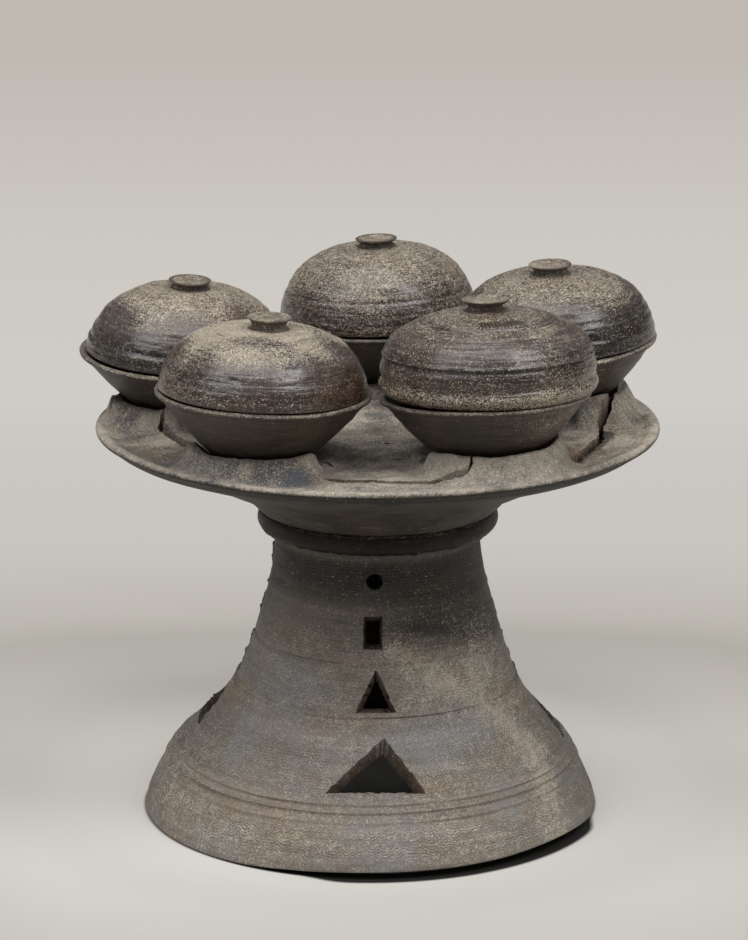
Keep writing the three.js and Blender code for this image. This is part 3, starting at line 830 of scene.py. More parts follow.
    def fire_and_shade(self, piece, points, outline, lips):
        """Paint what smoke, flame and drifting ash did, with painted shade under the dish, towards the sides,
        in the deep grooves and inside
        """
        turn, up = turn_of(points), points[:, 2]
        c, s, _ = around(points)
        face = normals(piece)
        out = face[:, 0] * c + face[:, 1] * s + 0.3 * face[:, 2] > 0
        soft = swell(points, 70, 8)
        trail = np.zeros(len(points))
        for (t0, z0), (t1, z1) in zip(ASH_TRAIL[:-1], ASH_TRAIL[1:]):
            for share in np.linspace(0, 1, 5):
                spot = (t0 + (t1 - t0) * share, z0 + (z1 - z0) * share, 6, 8, 1)
                trail = np.maximum(trail, blot(turn, up, [spot]))
        marks = {kind: blot(turn, up, spots) for kind, spots in FOOT_MARKS.items()}
        # painted shade: darker high up under the dish and towards the left and right sides, and painted light
        # in the band just under the cordon
        soot_and_shade = 0.02 + 0.5 * smooth(105, 150, up + 5 * soft) + 0.55 * smooth(50, 95, np.abs(turn + 3))
        soot_and_shade += marks["soot_and_shade"] + 0.48 * smooth(146, 164, up) - 0.35 * smooth(178, 181.5, up) + 0.15 * lips
        # painted shade in the deeper turned grooves
        for at, width, stands in FOOT_LINES:
            if stands < -0.45:
                soot_and_shade += 0.3 * out * bell(up - at, width) * np.clip(0.6 + soft, 0, 1)
        ash = 0.2 + 0.1 * soft + 0.42 * trail + marks["ash"] - 0.25 * smooth(120, 170, up)
        comb = np.zeros(len(points))
        for low, high, deep in COMB_BANDS:
            comb = np.maximum(comb, deep * smooth(low - 1, low + 1.5, up) * smooth(high + 1, high - 1.5, up))
        # inside the wall the clay is painted dark: painted shade
        paint(piece, wrap_of(points, along_of(points, outline), 60), np.where(out, ash, 0.1),
              np.where(out, soot_and_shade, 0.72), np.where(out, 0.1 + marks["warm"], 0.35), marks["cool_and_sheen"] * out,
              comb * out)

    def mark_cuts(self, piece):
        """Give the cut clay to the faces that stand square to the wall"""
        face = read(piece.data.polygons, "normal")
        middle = read(piece.data.polygons, "center") / MM - AXIS
        slope = foot_slope(middle[:, 2])
        c, s, _ = around(middle)
        square = np.abs(face[:, 0] * c + face[:, 1] * s - face[:, 2] * slope) / np.hypot(1, slope)
        walls = (square < 0.6) & (middle[:, 2] > 44) & (middle[:, 2] < 176)
        piece.data.polygons.foreach_set("material_index", walls.astype(np.int32))


class POTTERY_OT_cordon(bpy.types.Operator):
    """Lay the rounded ring of clay round the joint between foot and dish"""

    bl_idname = "pottery.cordon"
    bl_label = "Cordon"

    def execute(self, context):
        kiln = context.scene.pottery_colours
        outline = smooth_line(CORDON_SIDE, lambda r, z: 0.9)
        piece = turned("neck_cordon", outline)
        points = corners(piece)
        along = along_of(points, outline)
        c, s, radius = around(points)
        ring = wrap_of(points, points[:, 2], 76)
        depth = smooth(66.5, 70, radius)
        push = depth * (0.3 * swell(ring, 60, 11) + 0.15 * swell(ring, 14, 12))
        torn = depth * smooth(189.5, 187, points[:, 2])
        push += torn * 0.4 * swell(ring, 9, 13)
        points[:, 2] += torn * (0.4 * swell(ring, 12, 14) + 0.2 * swell(ring, 5, 15))
        swing(points, c, s, push)
        reshape(piece, points + AXIS)
        up = points[:, 2]
        # painted light and shade: the top of the roll is paler and its lower part darker
        paint(piece, wrap_of(points, along, 70), 0.1 + 0.2 * smooth(197, 199.5, up),
              0.6 + 0.2 * smooth(192, 187, up), 0.15)
        dress(piece, cordon_clay(kiln), "stand", "cordon_clay", "neck_cordon")
        return {"FINISHED"}


class POTTERY_OT_dish(bpy.types.Operator):
    """Throw the dish, close it with its plate, draw up the five collars and let it crack"""

    bl_idname = "pottery.dish"
    bl_label = "Dish"

    def execute(self, context):
        gap = context.scene.pottery_sizes.collar_gap / MM
        lip = smooth_line(DISH_LIP, lambda r, z: 0.9 if r > 168 else 1.5)
        top = smooth_line([(148, PLATE_TOP), (60, PLATE_TOP), (0, PLATE_TOP)],
                          lambda r, z: 1.55 if r > 52 else (3 if r > 20 else 6))
        outline = [(0, DISH_BASE), (30, DISH_BASE), (64.8, DISH_BASE), (64.8, 200.3)]
        outline += smooth_line(DISH_UNDER, lambda r, z: 2.4) + lip[1:] + top[1:-1] + [(0, PLATE_TOP)]
        piece = turned("dish", outline)
        self.push(piece)
        cut(piece, self.hollow(), *self.prints(gap))
        cut(piece, *[self.crack(line, width, number) for number, (line, width, _) in enumerate(CRACKS)])
        cut(piece, *[self.pit(number, *pit) for number, pit in enumerate(PITS)])
        self.fire_and_shade(piece, outline)
        nodes = ["dish", "top_plate"] + ["collar_" + name for name in BOWLS]
        dress(piece, dish_clay(), "stand", "dish_clay", *nodes)
        return {"FINISHED"}

    def push(self, piece):
        """Draw the clay up round the bowls, and let rim and walls swing out of true"""
        points = corners(piece)
        c, s, radius = around(points)
        ring = wrap_of(points, points[:, 2], 100)
        upper = (points[:, 2] > 252.6) & (radius < 179)
        below = (points[:, 2] < 250) & (radius > 70)
        place = points + AXIS
        lift = mounds(place[:, 0], place[:, 1]) * smooth(178, 168, radius)
        lift += 0.5 * swell(points, 70, 21) + 0.18 * swell(points, 16, 22)
        edge = smooth(165, 179, radius)
        points[:, 2] += upper * lift + edge * 0.45 * swell(ring * (1, 1, 0), 130, 23)
        push = below * (0.25 * swell(ring * (0.12, 0.12, 1), 6, 24) + 0.35 * swell(ring, 60, 25))
        push += edge * 0.4 * swell(ring * (1, 1, 0), 90, 26)
        swing(points, c, s, push)
        reshape(piece, points + AXIS)

    def hollow(self):
        """The room between the dish's bottom and the plate that closes it"""
        side = offset_line(smooth_line(DISH_UNDER, lambda r, z: 8), DISH_WALL)[::-1]
        side = [(r, z) for r, z in side if z < 244 and r < 146]
        tool = turned("hollow", [(0, PLATE_UNDER), (146, PLATE_UNDER)] + side + [(0, side[-1][1])])
        put(tool, Matrix.Translation(AXIS))
        return tool

    def prints(self, gap):
        """The room that each bowl left in its collar, rough and a little off its middle"""
        for number, bowl in enumerate(BOWLS.values()):
            side = bowl_side(bowl, gap, 24)
            side = [(0, 3), (side[0][0] + 4, 3)] + side + [(0, side[-1][1])]
            tool = turned("print", side)
            points = corners(tool)
            c, s, radius = around(points)
            shake = 0.5 * swell(points, 12, 70 + number) + 0.3 * swell(points, 4, 80 + number)
            swing(points, c, s, shake * (radius > 5))
            reshape(tool, points + (*bowl["collar"][3:], 0))
            put(tool, bowl_place(bowl))
            yield tool

    def crack(self, line, width, number):
        """A thin jagged prism that opens a crack through the plate"""
        draw = np.random.default_rng(100 + number)
        path = knife_line(line, False, 2.4, 0.7, 110 + number)
        way = np.gradient(path, axis=0)
        way /= np.linalg.norm(way, axis=1)[:, None]
        side = np.stack([-way[:, 1], way[:, 0]], 1)
        share = np.linspace(0, 1, len(path))
        half = width / 2 * np.minimum(1, 6 * np.minimum(share, 1 - share) + 0.12)
        half = half[:, None] * draw.uniform(0.55, 1.15, (len(path), 2))
        outline = np.concatenate([path + side * half[:, :1], (path - side * half[:, 1:])[::-1]])
        return slab("crack", outline + AXIS[:2], 243, 285)

    def pit(self, number, x, y, long, wide, deep):
        """A lump that leaves a pit"""
        bpy.ops.object.select_all(action="DESELECT")
        bpy.ops.mesh.primitive_uv_sphere_add(segments=20, ring_count=12, radius=MM)
        tool = bpy.context.object
        shape = corners(tool) * (long / 2, wide / 2, deep)
        shape += 0.25 * np.stack([swell(shape, 3, 90 + number), swell(shape, 3, 91 + number),
                                  np.zeros(len(shape))], 1)
        reshape(tool, shape + AXIS + (x, y, PLATE_TOP + 0.4))
        return tool

    def fire_and_shade(self, piece, outline):
        """Paint the ash that fell on the top and the smoke that blackened the rest, together with painted shade
        and painted highlights
        """
        place = corners(piece)
        points = place - AXIS
        _, _, radius = around(points)
        slant = normals(piece)[:, 2]
        upper = (points[:, 2] > 251.5) & (slant > -0.2)
        rise = mounds(place[:, 0], place[:, 1])
        along = np.where(upper, radius + 0.8 * rise, 420 + along_of(points, outline))
        soft, small = swell(points, 75, 27), swell(points, 24, 28)
        near = np.min([crack_distance(place[:, 0], place[:, 1], line)[0] for line, _, _ in CRACKS], axis=0)
        turn = turn_of(points)
        marks = {kind: blot(turn, radius, spots) for kind, spots in DISH_MARKS.items()}
        # ash, with the rim drawn paler as a painted highlight
        ash = 0.5 + 0.17 * soft + 0.14 * small + 0.14 * smooth(166, 176, radius) + 0.1 * smooth(2, 9, rise)
        ash += marks["ash"]
        # painted shade: darker towards the middle among the bowls, and in front between the two front bowls
        soot_and_shade = 0.1 + 0.1 * soft + 0.3 * smooth(145, 100, radius) + marks["soot_and_shade"]
        soot_and_shade += 0.25 * np.exp(-(((points[:, 0] - 12) / 40) ** 2 + ((points[:, 1] + 84) / 22) ** 2))
        for x, y, _, _, _ in PITS:
            soot_and_shade += 0.35 * bell(np.hypot((points[:, 0] - x) / 2.2, points[:, 1] - y), 5)
        warm = 0.14 + 0.16 * small + 0.55 * bell(near, 4) + marks["warm"]
        steep = smooth(0.5, 0.15, slant)
        # painted shade: clay below the plate's surface, in cracks, pits and the bowls' prints, is drawn darker,
        # and the underside is dark with smoke and painted shade
        inside = upper * smooth(1.0, 2.8, PLATE_TOP + rise - points[:, 2]) * (radius < 172)
        soot_and_shade = np.where(upper, soot_and_shade + 0.35 * steep, 0.78 + 0.1 * small) + 0.6 * inside
        ash = np.where(upper, ash - 0.3 * steep, 0.02 + 0.2 * smooth(247, 251, points[:, 2])) - 0.6 * inside
        warm = np.where(upper, warm, 0.1 + 0.08 * soft)
        # the skirt of the front left collar is blue and bare
        skirt = upper * np.exp(-(((points[:, 0] + 76) / 44) ** 2 + ((points[:, 1] + 146) / 12) ** 2) ** 2)
        soot_and_shade, ash, cool_and_sheen = soot_and_shade + 0.4 * skirt, ash - 0.35 * skirt, 0.1 + 0.7 * skirt + marks["cool_and_sheen"]
        # painted shade darkens the rim's outer band, and a painted highlight lightens its upper edge
        band = smooth(171, 174, radius) * smooth(253.6, 252.4, points[:, 2])
        edge = smooth(173.5, 175.5, radius) * smooth(0.2, 0.5, slant)
        ash, soot_and_shade = ash * (1 - band) + 0.12 * edge, soot_and_shade * (1 - band * upper) + 0.6 * band - 0.15 * edge
        paint(piece, wrap_of(points, along, 90), ash, soot_and_shade, warm, np.where(upper, cool_and_sheen, 0))


class POTTERY_OT_bowls(bpy.types.Operator):
    """Throw one bowl, copy it five times and set each in its collar, out of true in its own way"""

    bl_idname = "pottery.bowls"
    bl_label = "Bowls"

    def execute(self, context):
        kiln, wobble = context.scene.pottery_colours, context.scene.pottery_sizes.wobble / MM
        pattern = dict(wide=0, high=0, right=0, back=0)
        depth = bowl_depth(pattern)
        outside = bowl_side(pattern, 0, 30)
        r = BOWL_RADIUS
        lip = smooth_line([(r - 5.2, -2.8), (r - 4.6, -1.0), (r - 3.4, -0.15), (r - 1.8, 0), (r - 0.5, -0.6),
                           (r, -1.6), (r - 0.4, -2.5), (r - 1.5, -3.1), outside[0]], lambda r, z: 0.45)
        inside = [(r - 4.6, z + 1.6) for r, z in outside[3:-1]][::-1]
        outline = ([(0, 4.4 - depth), (12, 4.3 - depth), (22, 4.5 - depth)]
                   + [p for p in inside if p[0] > 23] + lip + outside[1:]
                   + [(24, -depth), (20, 0.6 - depth), (0, 0.7 - depth)])
        first = turned("bowl", outline)
        for number, (name, bowl) in enumerate(BOWLS.items()):
            piece = copied(first, "bowl_" + name)
            points = corners(piece)
            along = along_of(points, outline)
            c, s, radius = around(points)
            wide = (rim_radius(bowl) - BOWL_BASE) / (BOWL_RADIUS - BOWL_BASE)
            radius = np.where(radius > BOWL_BASE, BOWL_BASE + (radius - BOWL_BASE) * wide, radius)
            points[:, 2] *= bowl_depth(bowl) / depth
            ring = wrap_of(points, points[:, 2], 60)
            high = smooth(-38, -8, points[:, 2])
            push = high * (0.8 * wobble * swell(ring * (1, 1, 0.3), 110, 120 + number)
                           + 0.25 * swell(ring * (0.15, 0.15, 1), 6, 130 + number)
                           + 0.15 * swell(ring, 22, 140 + number))
            rise = high * 0.3 * swell(ring * (1, 1, 0), 80, 150 + number)
            points = np.stack([c * (radius + push), s * (radius + push), points[:, 2] + rise], 1)
            turn, up = turn_of(points), points[:, 2]
            soft = swell(points, 55, 160 + number)
            # painted light and shade: darker towards the base, a little lighter just under the rim, and the
            # pale ash on the rim's top is also a painted highlight
            values = {
                "ash": 0.02 + 0.08 * soft + 0.45 * smooth(-2.6, -0.8, up),
                "soot_and_shade": 0.16 + 0.12 * soft + 0.4 * smooth(-18, -42, up) - 0.15 * smooth(-6, -1, up),
                "warm": 0.12 + 0.12 * soft}
            for kind, spots in BOWL_MARKS[name].items():
                values[kind] += blot(turn, up, spots)
            paint(piece, wrap_of(points, along, 60), *values.values())
            reshape(piece, points)
            put(piece, bowl_place(bowl))
            dress(piece, bowl_clay(kiln), "stand", "bowl_clay", "bowl_" + name)
        bpy.data.objects.remove(first)
        return {"FINISHED"}


# Soft spots that the kiln left: (turn, height, degrees wide, mm high, strength)
BOWL_MARKS = {
    "front_left": {"warm": [(10, -13, 40, 8, 0.35)], "ash": [(30, -8, 30, 8, 0.1)]},
    "front_right": {"ash": [(60, -12, 35, 16, 0.5)], "warm": [(70, -12, 30, 14, 0.3)],
                    "soot_and_shade": [(-30, -15, 60, 18, 0.2)]},
    "right": {"ash": [(40, -10, 40, 12, 0.2)]},
    "back": {},
    "left": {"warm": [(20, -12, 40, 10, 0.15)]},
}
# Lids: share of ash on the crown and at the edge, height where it fades and how softly, then spots. The soot
# spots on the lower parts and sides are painted shade, the thin one on the front right lid lying under its
# upper tier; the cool spots are a painted sheen, and the ash spot on that lid's right shoulder is a painted
# highlight.
LID_ASH_AND_LIGHT = {
    "front_left": dict(top=1.0, low=0.02, line=30.5, soft=8, spots={
        "ash": [(-25, 6, 40, 8, 0.14), (75, 16, 40, 14, -0.15), (-80, 16, 25, 12, 0.1)],
        "warm": [(66, 12, 40, 16, 0.5), (-78, 12, 26, 18, 0.6)],
        "cool_and_sheen": [(8, 20, 30, 10, 0.4), (-30, 16, 30, 12, 0.3)],
        "soot_and_shade": [(62, 14, 40, 14, 0.35), (-66, 18, 26, 18, 0.6)]}),
    "front_right": dict(top=0.32, low=0.08, line=43, soft=7, spots={
        "ash": [(62, 12, 30, 8, 0.2), (-62, 12, 30, 8, 0.2), (40, 4, 34, 5, 0.4), (-20, 4, 40, 4, 0.2),
                (22, 29, 20, 3.5, 0.2), (0, 5, 90, 5, 0.14)],
        "warm": [(62, 14, 40, 14, 0.45), (-62, 10, 35, 10, 0.5), (30, 3, 40, 4, 0.4), (0, 44, 90, 8, 0.3)],
        "cool_and_sheen": [(15, 32, 40, 8, 0.4)],
        "soot_and_shade": [(0, 17, 60, 5, 0.3), (62, 21, 26, 12, 0.6), (0, 24.5, 180, 1.6, 0.5)]}),
    "right": dict(top=0.44, low=0.0, line=31, soft=8, spots={
        "soot_and_shade": [(20, 12, 90, 17, 1.0), (40, 4, 90, 9, 0.6)],
        "warm": [(0, 38, 80, 12, 0.25), (30, 12, 60, 10, 0.2)],
        "cool_and_sheen": [(-10, 20, 30, 8, 0.3)]}),
    "back": dict(top=0.46, low=0.16, line=25, soft=15, spots={
        "soot_and_shade": [(-45, 14, 40, 14, 0.25), (60, 20, 40, 16, 0.2)], "warm": [(0, 40, 90, 14, 0.25)],
        "cool_and_sheen": [(-25, 16, 40, 12, 0.4)]}),
    "left": dict(top=0.56, low=0.0, line=27.5, soft=6, spots={
        "soot_and_shade": [(-10, 6, 120, 12, 1.0), (-20, 3, 90, 8, 0.6)], "warm": [(0, 36, 80, 12, 0.3)],
        "cool_and_sheen": [(-25, 19, 50, 6, 0.5)]}),
}
# Scars in a lid, as lines of (turn, height)
SCARS = {"front_left": [
    [(9, 19.5), (13, 21.5), (18, 22.5), (22, 25.5), (27, 29)], [(14, 22), (17, 26), (21, 27.5)],
    [(-22, 21), (-18, 18.8), (-13, 17.6)], [(-19, 17), (-15, 19.2)]]}
# Lids with a row of comb strokes
COMBED_LIDS = ["front_right"]
# Rings cut or left on each lid: place along the outline from the crown, width, depth
LID_RINGS = {
    "front_left": [(31.5, 0.8, -0.7), (34.5, 0.8, -0.6), (49, 0.9, 0.4), (68, 0.8, -0.3)],
    "front_right": [(27, 0.8, 0.4), (39.0, 0.8, -0.8), (42.2, 0.8, -0.8), (54, 1.2, -0.3), (62, 1.5, 0.3)],
    "right": [(36, 1.0, -0.3), (56, 1.4, 0.35), (66, 1.4, -0.35)],
    "back": [(40, 1.2, -0.3), (58, 1.4, 0.3), (70, 1.2, -0.4)],
    "left": [(30, 1.0, -0.3), (58, 1.5, 0.3), (77, 1.4, 0.5), (73.5, 1.4, -0.4)],
}


class POTTERY_OT_lids(bpy.types.Operator):
    """Throw the five lids, each to its own bowl, with their wobbles, rings and dust of ash"""

    bl_idname = "pottery.lids"
    bl_label = "Lids"

    def execute(self, context):
        wobble = context.scene.pottery_sizes.wobble / MM
        for number, (name, bowl) in enumerate(BOWLS.items()):
            outside, high = self.outside(bowl), LID_HEIGHT + bowl["lid"]["high"]
            low = outside[0][0] - LID_WALL
            inside = self.dome(low, high - LID_WALL, bowl["lid"]["side"], bowl["lid"]["crown"], 0, 3)[::-1]
            outline = [(0, high - LID_WALL)] + inside[1:] + [(low, 1.2), (low + 0.8, 0.2), (low + 2.2, 0)]
            outline += outside[:-1] + [(0, high)]
            piece = turned("lid_" + name, outline)
            points = corners(piece)
            along = along_of(points, outline)
            total, edge = along_of(np.array([[0, 0, high], [low + 2.2, 0, 0]]), outline)
            from_crown = total - along
            outer = from_crown < total - edge
            _, _, radius = around(points)
            ring, wheel = wrap_of(points, points[:, 2], 60), wrap_of(points, along, 8)
            push = wobble * 0.6 * swell(ring * (1, 1, 0.4), 110, 170 + number) * smooth(5, 40, radius)
            push += 0.2 * swell(wheel, 7, 180 + number) + 0.09 * swell(wheel, 2.6, 190 + number)
            push += 0.15 * swell(points, 26, 200 + number)
            for at, width, deep in LID_RINGS[name]:
                push += outer * deep * bell(from_crown - at, width)
            way = normals(piece)
            points += way * (push * smooth(0, 4, points[:, 2]) * smooth(2, 14, radius))[:, None]

            turn, up = turn_of(points), points[:, 2]
            kiln_and_light, soft = LID_ASH_AND_LIGHT[name], swell(points, 50, 210 + number)
            fall = smooth(kiln_and_light["line"] - kiln_and_light["soft"], kiln_and_light["line"] + kiln_and_light["soft"], up + 5 * soft)
            values = {"ash": kiln_and_light["low"] + (kiln_and_light["top"] - kiln_and_light["low"]) * fall + 0.05 * soft,
                      "soot_and_shade": 0.1 + 0.1 * soft, "cool_and_sheen": np.zeros(len(points)),
                      "warm": 0.1 + 0.12 * swell(points, 40, 220 + number)}
            # painted shade and light: cut rings are drawn darker and raised rings paler
            for at, width, deep in LID_RINGS[name]:
                near = bell(from_crown - at, width)
                values["soot_and_shade"] -= 0.8 * min(deep, 0) * near
                values["ash"] += 0.3 * deep * near
            for kind, spots in kiln_and_light["spots"].items():
                values[kind] += blot(turn, up, spots)
            flat = np.stack([np.radians(turn) * 57, up], 1)
            # each scar is pressed in and drawn darker: painted shade in it
            for scar in SCARS.get(name, []):
                line = np.array([(math.radians(t) * 57, z) for t, z in scar + scar[-2:0:-1]])
                scratch = bell(line_distance(flat, line), SCAR_WIDTH) * outer
                points -= way * (0.45 * scratch)[:, None]
                values["soot_and_shade"] += 0.75 * scratch
                values["ash"] -= 0.5 * scratch
            stroked = name in COMBED_LIDS
            mark = 3.8 * stroked * (smooth(28.5, 30.5, from_crown) * smooth(38.6, 36.6, from_crown)
                                    * smooth(-14, -6, turn) * smooth(44, 34, turn))
            ash = np.where(outer, values["ash"], 0.1) - 0.1 * mark
            paint(piece, wrap_of(points, along, 60), ash, np.where(outer, values["soot_and_shade"], 0.3), values["warm"],
                  values["cool_and_sheen"], mark * outer)
            reshape(piece, points)
            put(piece, lid_place(bowl))
            dress(piece, lid_clay(stroked), "cover_" + name, "lid_clay", "lid_" + name)
        return {"FINISHED"}

    def dome(self, radius, high, side, crown, start, step):
        """(r / radius)^side + (z / high)^crown = 1, from the edge up to the crown"""
        lean = np.linspace(0, math.pi / 2, 400)
        line = np.stack([radius * np.cos(lean) ** (2 / side), start + high * np.sin(lean) ** (2 / crown)], 1)
        line[-1, 0] = 0
        run = np.concatenate([[0], np.cumsum(np.hypot(*np.diff(line, axis=0).T))])
        at = np.linspace(0, run[-1], max(8, round(run[-1] / step)))
        return [(float(np.interp(a, run, line[:, 0])), float(np.interp(a, run, line[:, 1]))) for a in at]

    def outside(self, bowl):
        """A lid's outside from its edge to its crown"""
        lid = bowl["lid"]
        radius, high = lid_radius(bowl), LID_HEIGHT + lid["high"]
        if lid["wide"] < 2:
            dome = self.dome(radius, high, lid["side"], lid["crown"], 0, LID_STEP)
            return [(radius - 1.4, 0.0), (radius - 0.3, 0.5)] + dome[2:]
        # thrown in two tiers: a grooved band below, and a dome whose edge stands over it
        band = smooth_line([(radius - 3.4, 0), (radius - 1.6, 1.8), (radius, 5.4), (radius - 0.8, 8.4),
                            (radius - 1.7, 11), (radius - 1.1, 13.6), (radius - 1.0, 16.4), (radius - 2.0, 20),
                            (radius - 3.1, 23.2)], lambda r, z: 0.8)
        dome = self.dome(radius - 3.2, high - 24.6, lid["side"], lid["crown"], 24.6, LID_STEP)
        return band + [(radius - 2.0, 23.9), (radius - 1.9, 24.8), (radius - 2.9, 25.9)] + [
            p for p in dome if p[1] > 26.6]


class POTTERY_OT_knobs(bpy.types.Operator):
    """Turn one dished knob with its waist, copy it five times and set each on its lid"""

    bl_idname = "pottery.knobs"
    bl_label = "Knobs"

    def execute(self, context):
        kiln = context.scene.pottery_colours
        outline = smooth_line(KNOB_SIDE, lambda r, z: 0.5)
        outline[0], outline[-1] = (0, -1.6), (0, 5.0)
        first = turned("knob", outline)
        for number, (name, bowl) in enumerate(BOWLS.items()):
            knob = bowl["knob"]
            piece = copied(first, "knob_" + name)
            points = corners(piece)
            along = along_of(points, outline)
            # the disc grows and rises with its own measures, and the stem stays
            disc = smooth(2.2, 4.0, points[:, 2])
            points[:, :2] *= (1 + disc * knob["wide"] / 13.7)[:, None]
            points[:, 2] += disc * (knob["high"] - 6.4)
            c, s, r = around(points)
            ring = wrap_of(points, points[:, 2], 14)
            push = 0.25 * disc * swell(ring * (1, 1, 0), 40, 230 + number) + 0.12 * swell(ring, 7, 240 + number)
            swing(points, c, s, push * smooth(2, 9, r))
            points[:, 2] += disc * 0.18 * swell(ring * (1, 1, 0), 50, 250 + number) * smooth(2, 9, r)
            up = points[:, 2]
            # painted shade: the disc's rounded side keeps less ash, and the waist under the disc is darker
            ash = 0.5 + 0.1 * swell(points, 12, 260 + number) - 0.5 * smooth(5.9, 5.3, up) * smooth(10, 12.5, r)
            soot_and_shade = 0.15 + 0.45 * smooth(4.2, 2.4, up) * smooth(14, 10, r)
            paint(piece, wrap_of(points, along, 14), ash, soot_and_shade, 0.2)
            crown = LID_HEIGHT + bowl["lid"]["high"]
            reshape(piece, points)
            put(piece, lid_place(bowl) @ Matrix.Translation((knob["x"], 0, crown + SEAT)))
            dress(piece, knob_clay(kiln), "cover_" + name, "knob_clay", "knob_" + name)
        bpy.data.objects.remove(first)
        return {"FINISHED"}


# Stoneware, unglazed and combed: matte, grey with bluish and tan patches, and pale ash that drifted past
def foot_clay(sizes):
    return stoneware("combed_grey_stoneware", "7B756D", "968F85", "8D9196", "967E66", "B6AB9A", "DAD1C0",
                     rough=0.6, streak=0.7, lines=0.45, dots=0.24, grain=0.7, cool_share=0.6, warm_share=0.3,
                     comb=(0, sizes.comb / MM, 105, sizes.wave / MM, 0.2))


# Stoneware cut while it was leathery: rough and dark, rusty where the blade dragged
def cut_clay(kiln):
    return stoneware("knife_cut_stoneware", "4A4239", "70655A", "5E5956", "80583C", kiln.ash, kiln.pale,
                     rough=0.75, streak=0.3, dots=0.06, grain=0.6, cool_share=0.2, warm_share=0.6)


# Stoneware in the flame's shadow: nearly black and dry, its black partly painted shade from the dish above
def cordon_clay(kiln):
    return stoneware("smoked_and_shaded_stoneware", "0F0D0B", "1F1B18", "2E2C2A", "4A3A2C", kiln.ash, kiln.pale,
                     rough=0.55, streak=0.6, dots=0.02, grain=0.3, cool_share=0.1, warm_share=0.3, sheen=0.35)


# Stoneware of the open dish: ash settled on the top, and smoke and painted shade blacken the underside
def dish_clay():
    return stoneware("ash_settled_stoneware", "4D4943", "6E685F", "6F747B", "8A6F52", "A39A8D", "CFC6B6",
                     rough=0.62, streak=0.7, lines=0.35, dots=0.12, grain=0.6, cool_share=0.5, warm_share=0.3)


# Stoneware of the bowls: dense and dark olive grey, with fine drawn lines and a faint sheen
def bowl_clay(kiln):
    return stoneware("dense_dark_stoneware", "26231F", "4C4740", "4B4D52", "5E4938", "7E7465", kiln.pale,
                     rough=0.45, streak=1.2, lines=0.4, dots=0.05, grain=0.5, cool_share=0.25, warm_share=0.3)


# Stoneware of the lids: purple-brown with a dull sheen under a thick speckle of ash
def lid_clay(stroked):
    return stoneware("ash_speckled_stoneware", "241A16", "3F312B", "4C4549", "563D2B", "978A78", "D8CDB7",
                     rough=0.26, dusty=0.6, streak=1.1, lines=0.5, dots=0.38, grain=1.0, cool_share=0.3,
                     warm_share=0.2, sheen=0.85, comb=(100, 12.0, 0, 0.0, 1.0) if stroked else None)


# Stoneware of the knobs: handled and dusted, a little browner
def knob_clay(kiln):
    return stoneware("dusted_stoneware", "3B352F", "5E564C", kiln.cool_and_sheen, "6E5742", "968A79", kiln.pale,
                     rough=0.6, streak=0.6, dots=0.12, grain=0.55)


# Suns with a wide disc act as softboxes far off, and light near and far alike: way towards the lamp,
# degrees that it fills, strength and colour
LAMPS = {
    "overhead_softbox": ((-0.12, -0.12, 1.0), 52, 1.4, "FFFCF6"),
    "right_softbox": ((0.5, -0.36, 0.79), 24, 0.85, "FFFFFF"),
    "left_softbox": ((-0.6, -0.35, 0.72), 32, 0.45, "F6F8FF"),
}
BACKDROP = "BDBBB6"
# Tone of the paper by its distance, as a share of 4 m. The darker ring at about 0.35 m is a painted shadow, and
# the darker tone far off is painted shade.
PAPER = [(0.0, "D5D3CE"), (0.052, "D3D1CC"), (0.07, "C9C6C1"), (0.09, "B3B0AA"), (0.15, "C2BFBA"),
         (0.28, "D0CDC8"), (0.45, "CCC8C2"), (0.8, "BFB9B2"), (1.0, "BFB9B2")]
# The camera fitted to the photograph: metres in front of the dish and up, radians down, lens in mm
CAMERA_AWAY = 2.4288
CAMERA_UP = 0.8673
CAMERA_DOWN = 0.2593
CAMERA_LENS = 150.18
CAMERA_SHIFT = -3.857 / 940


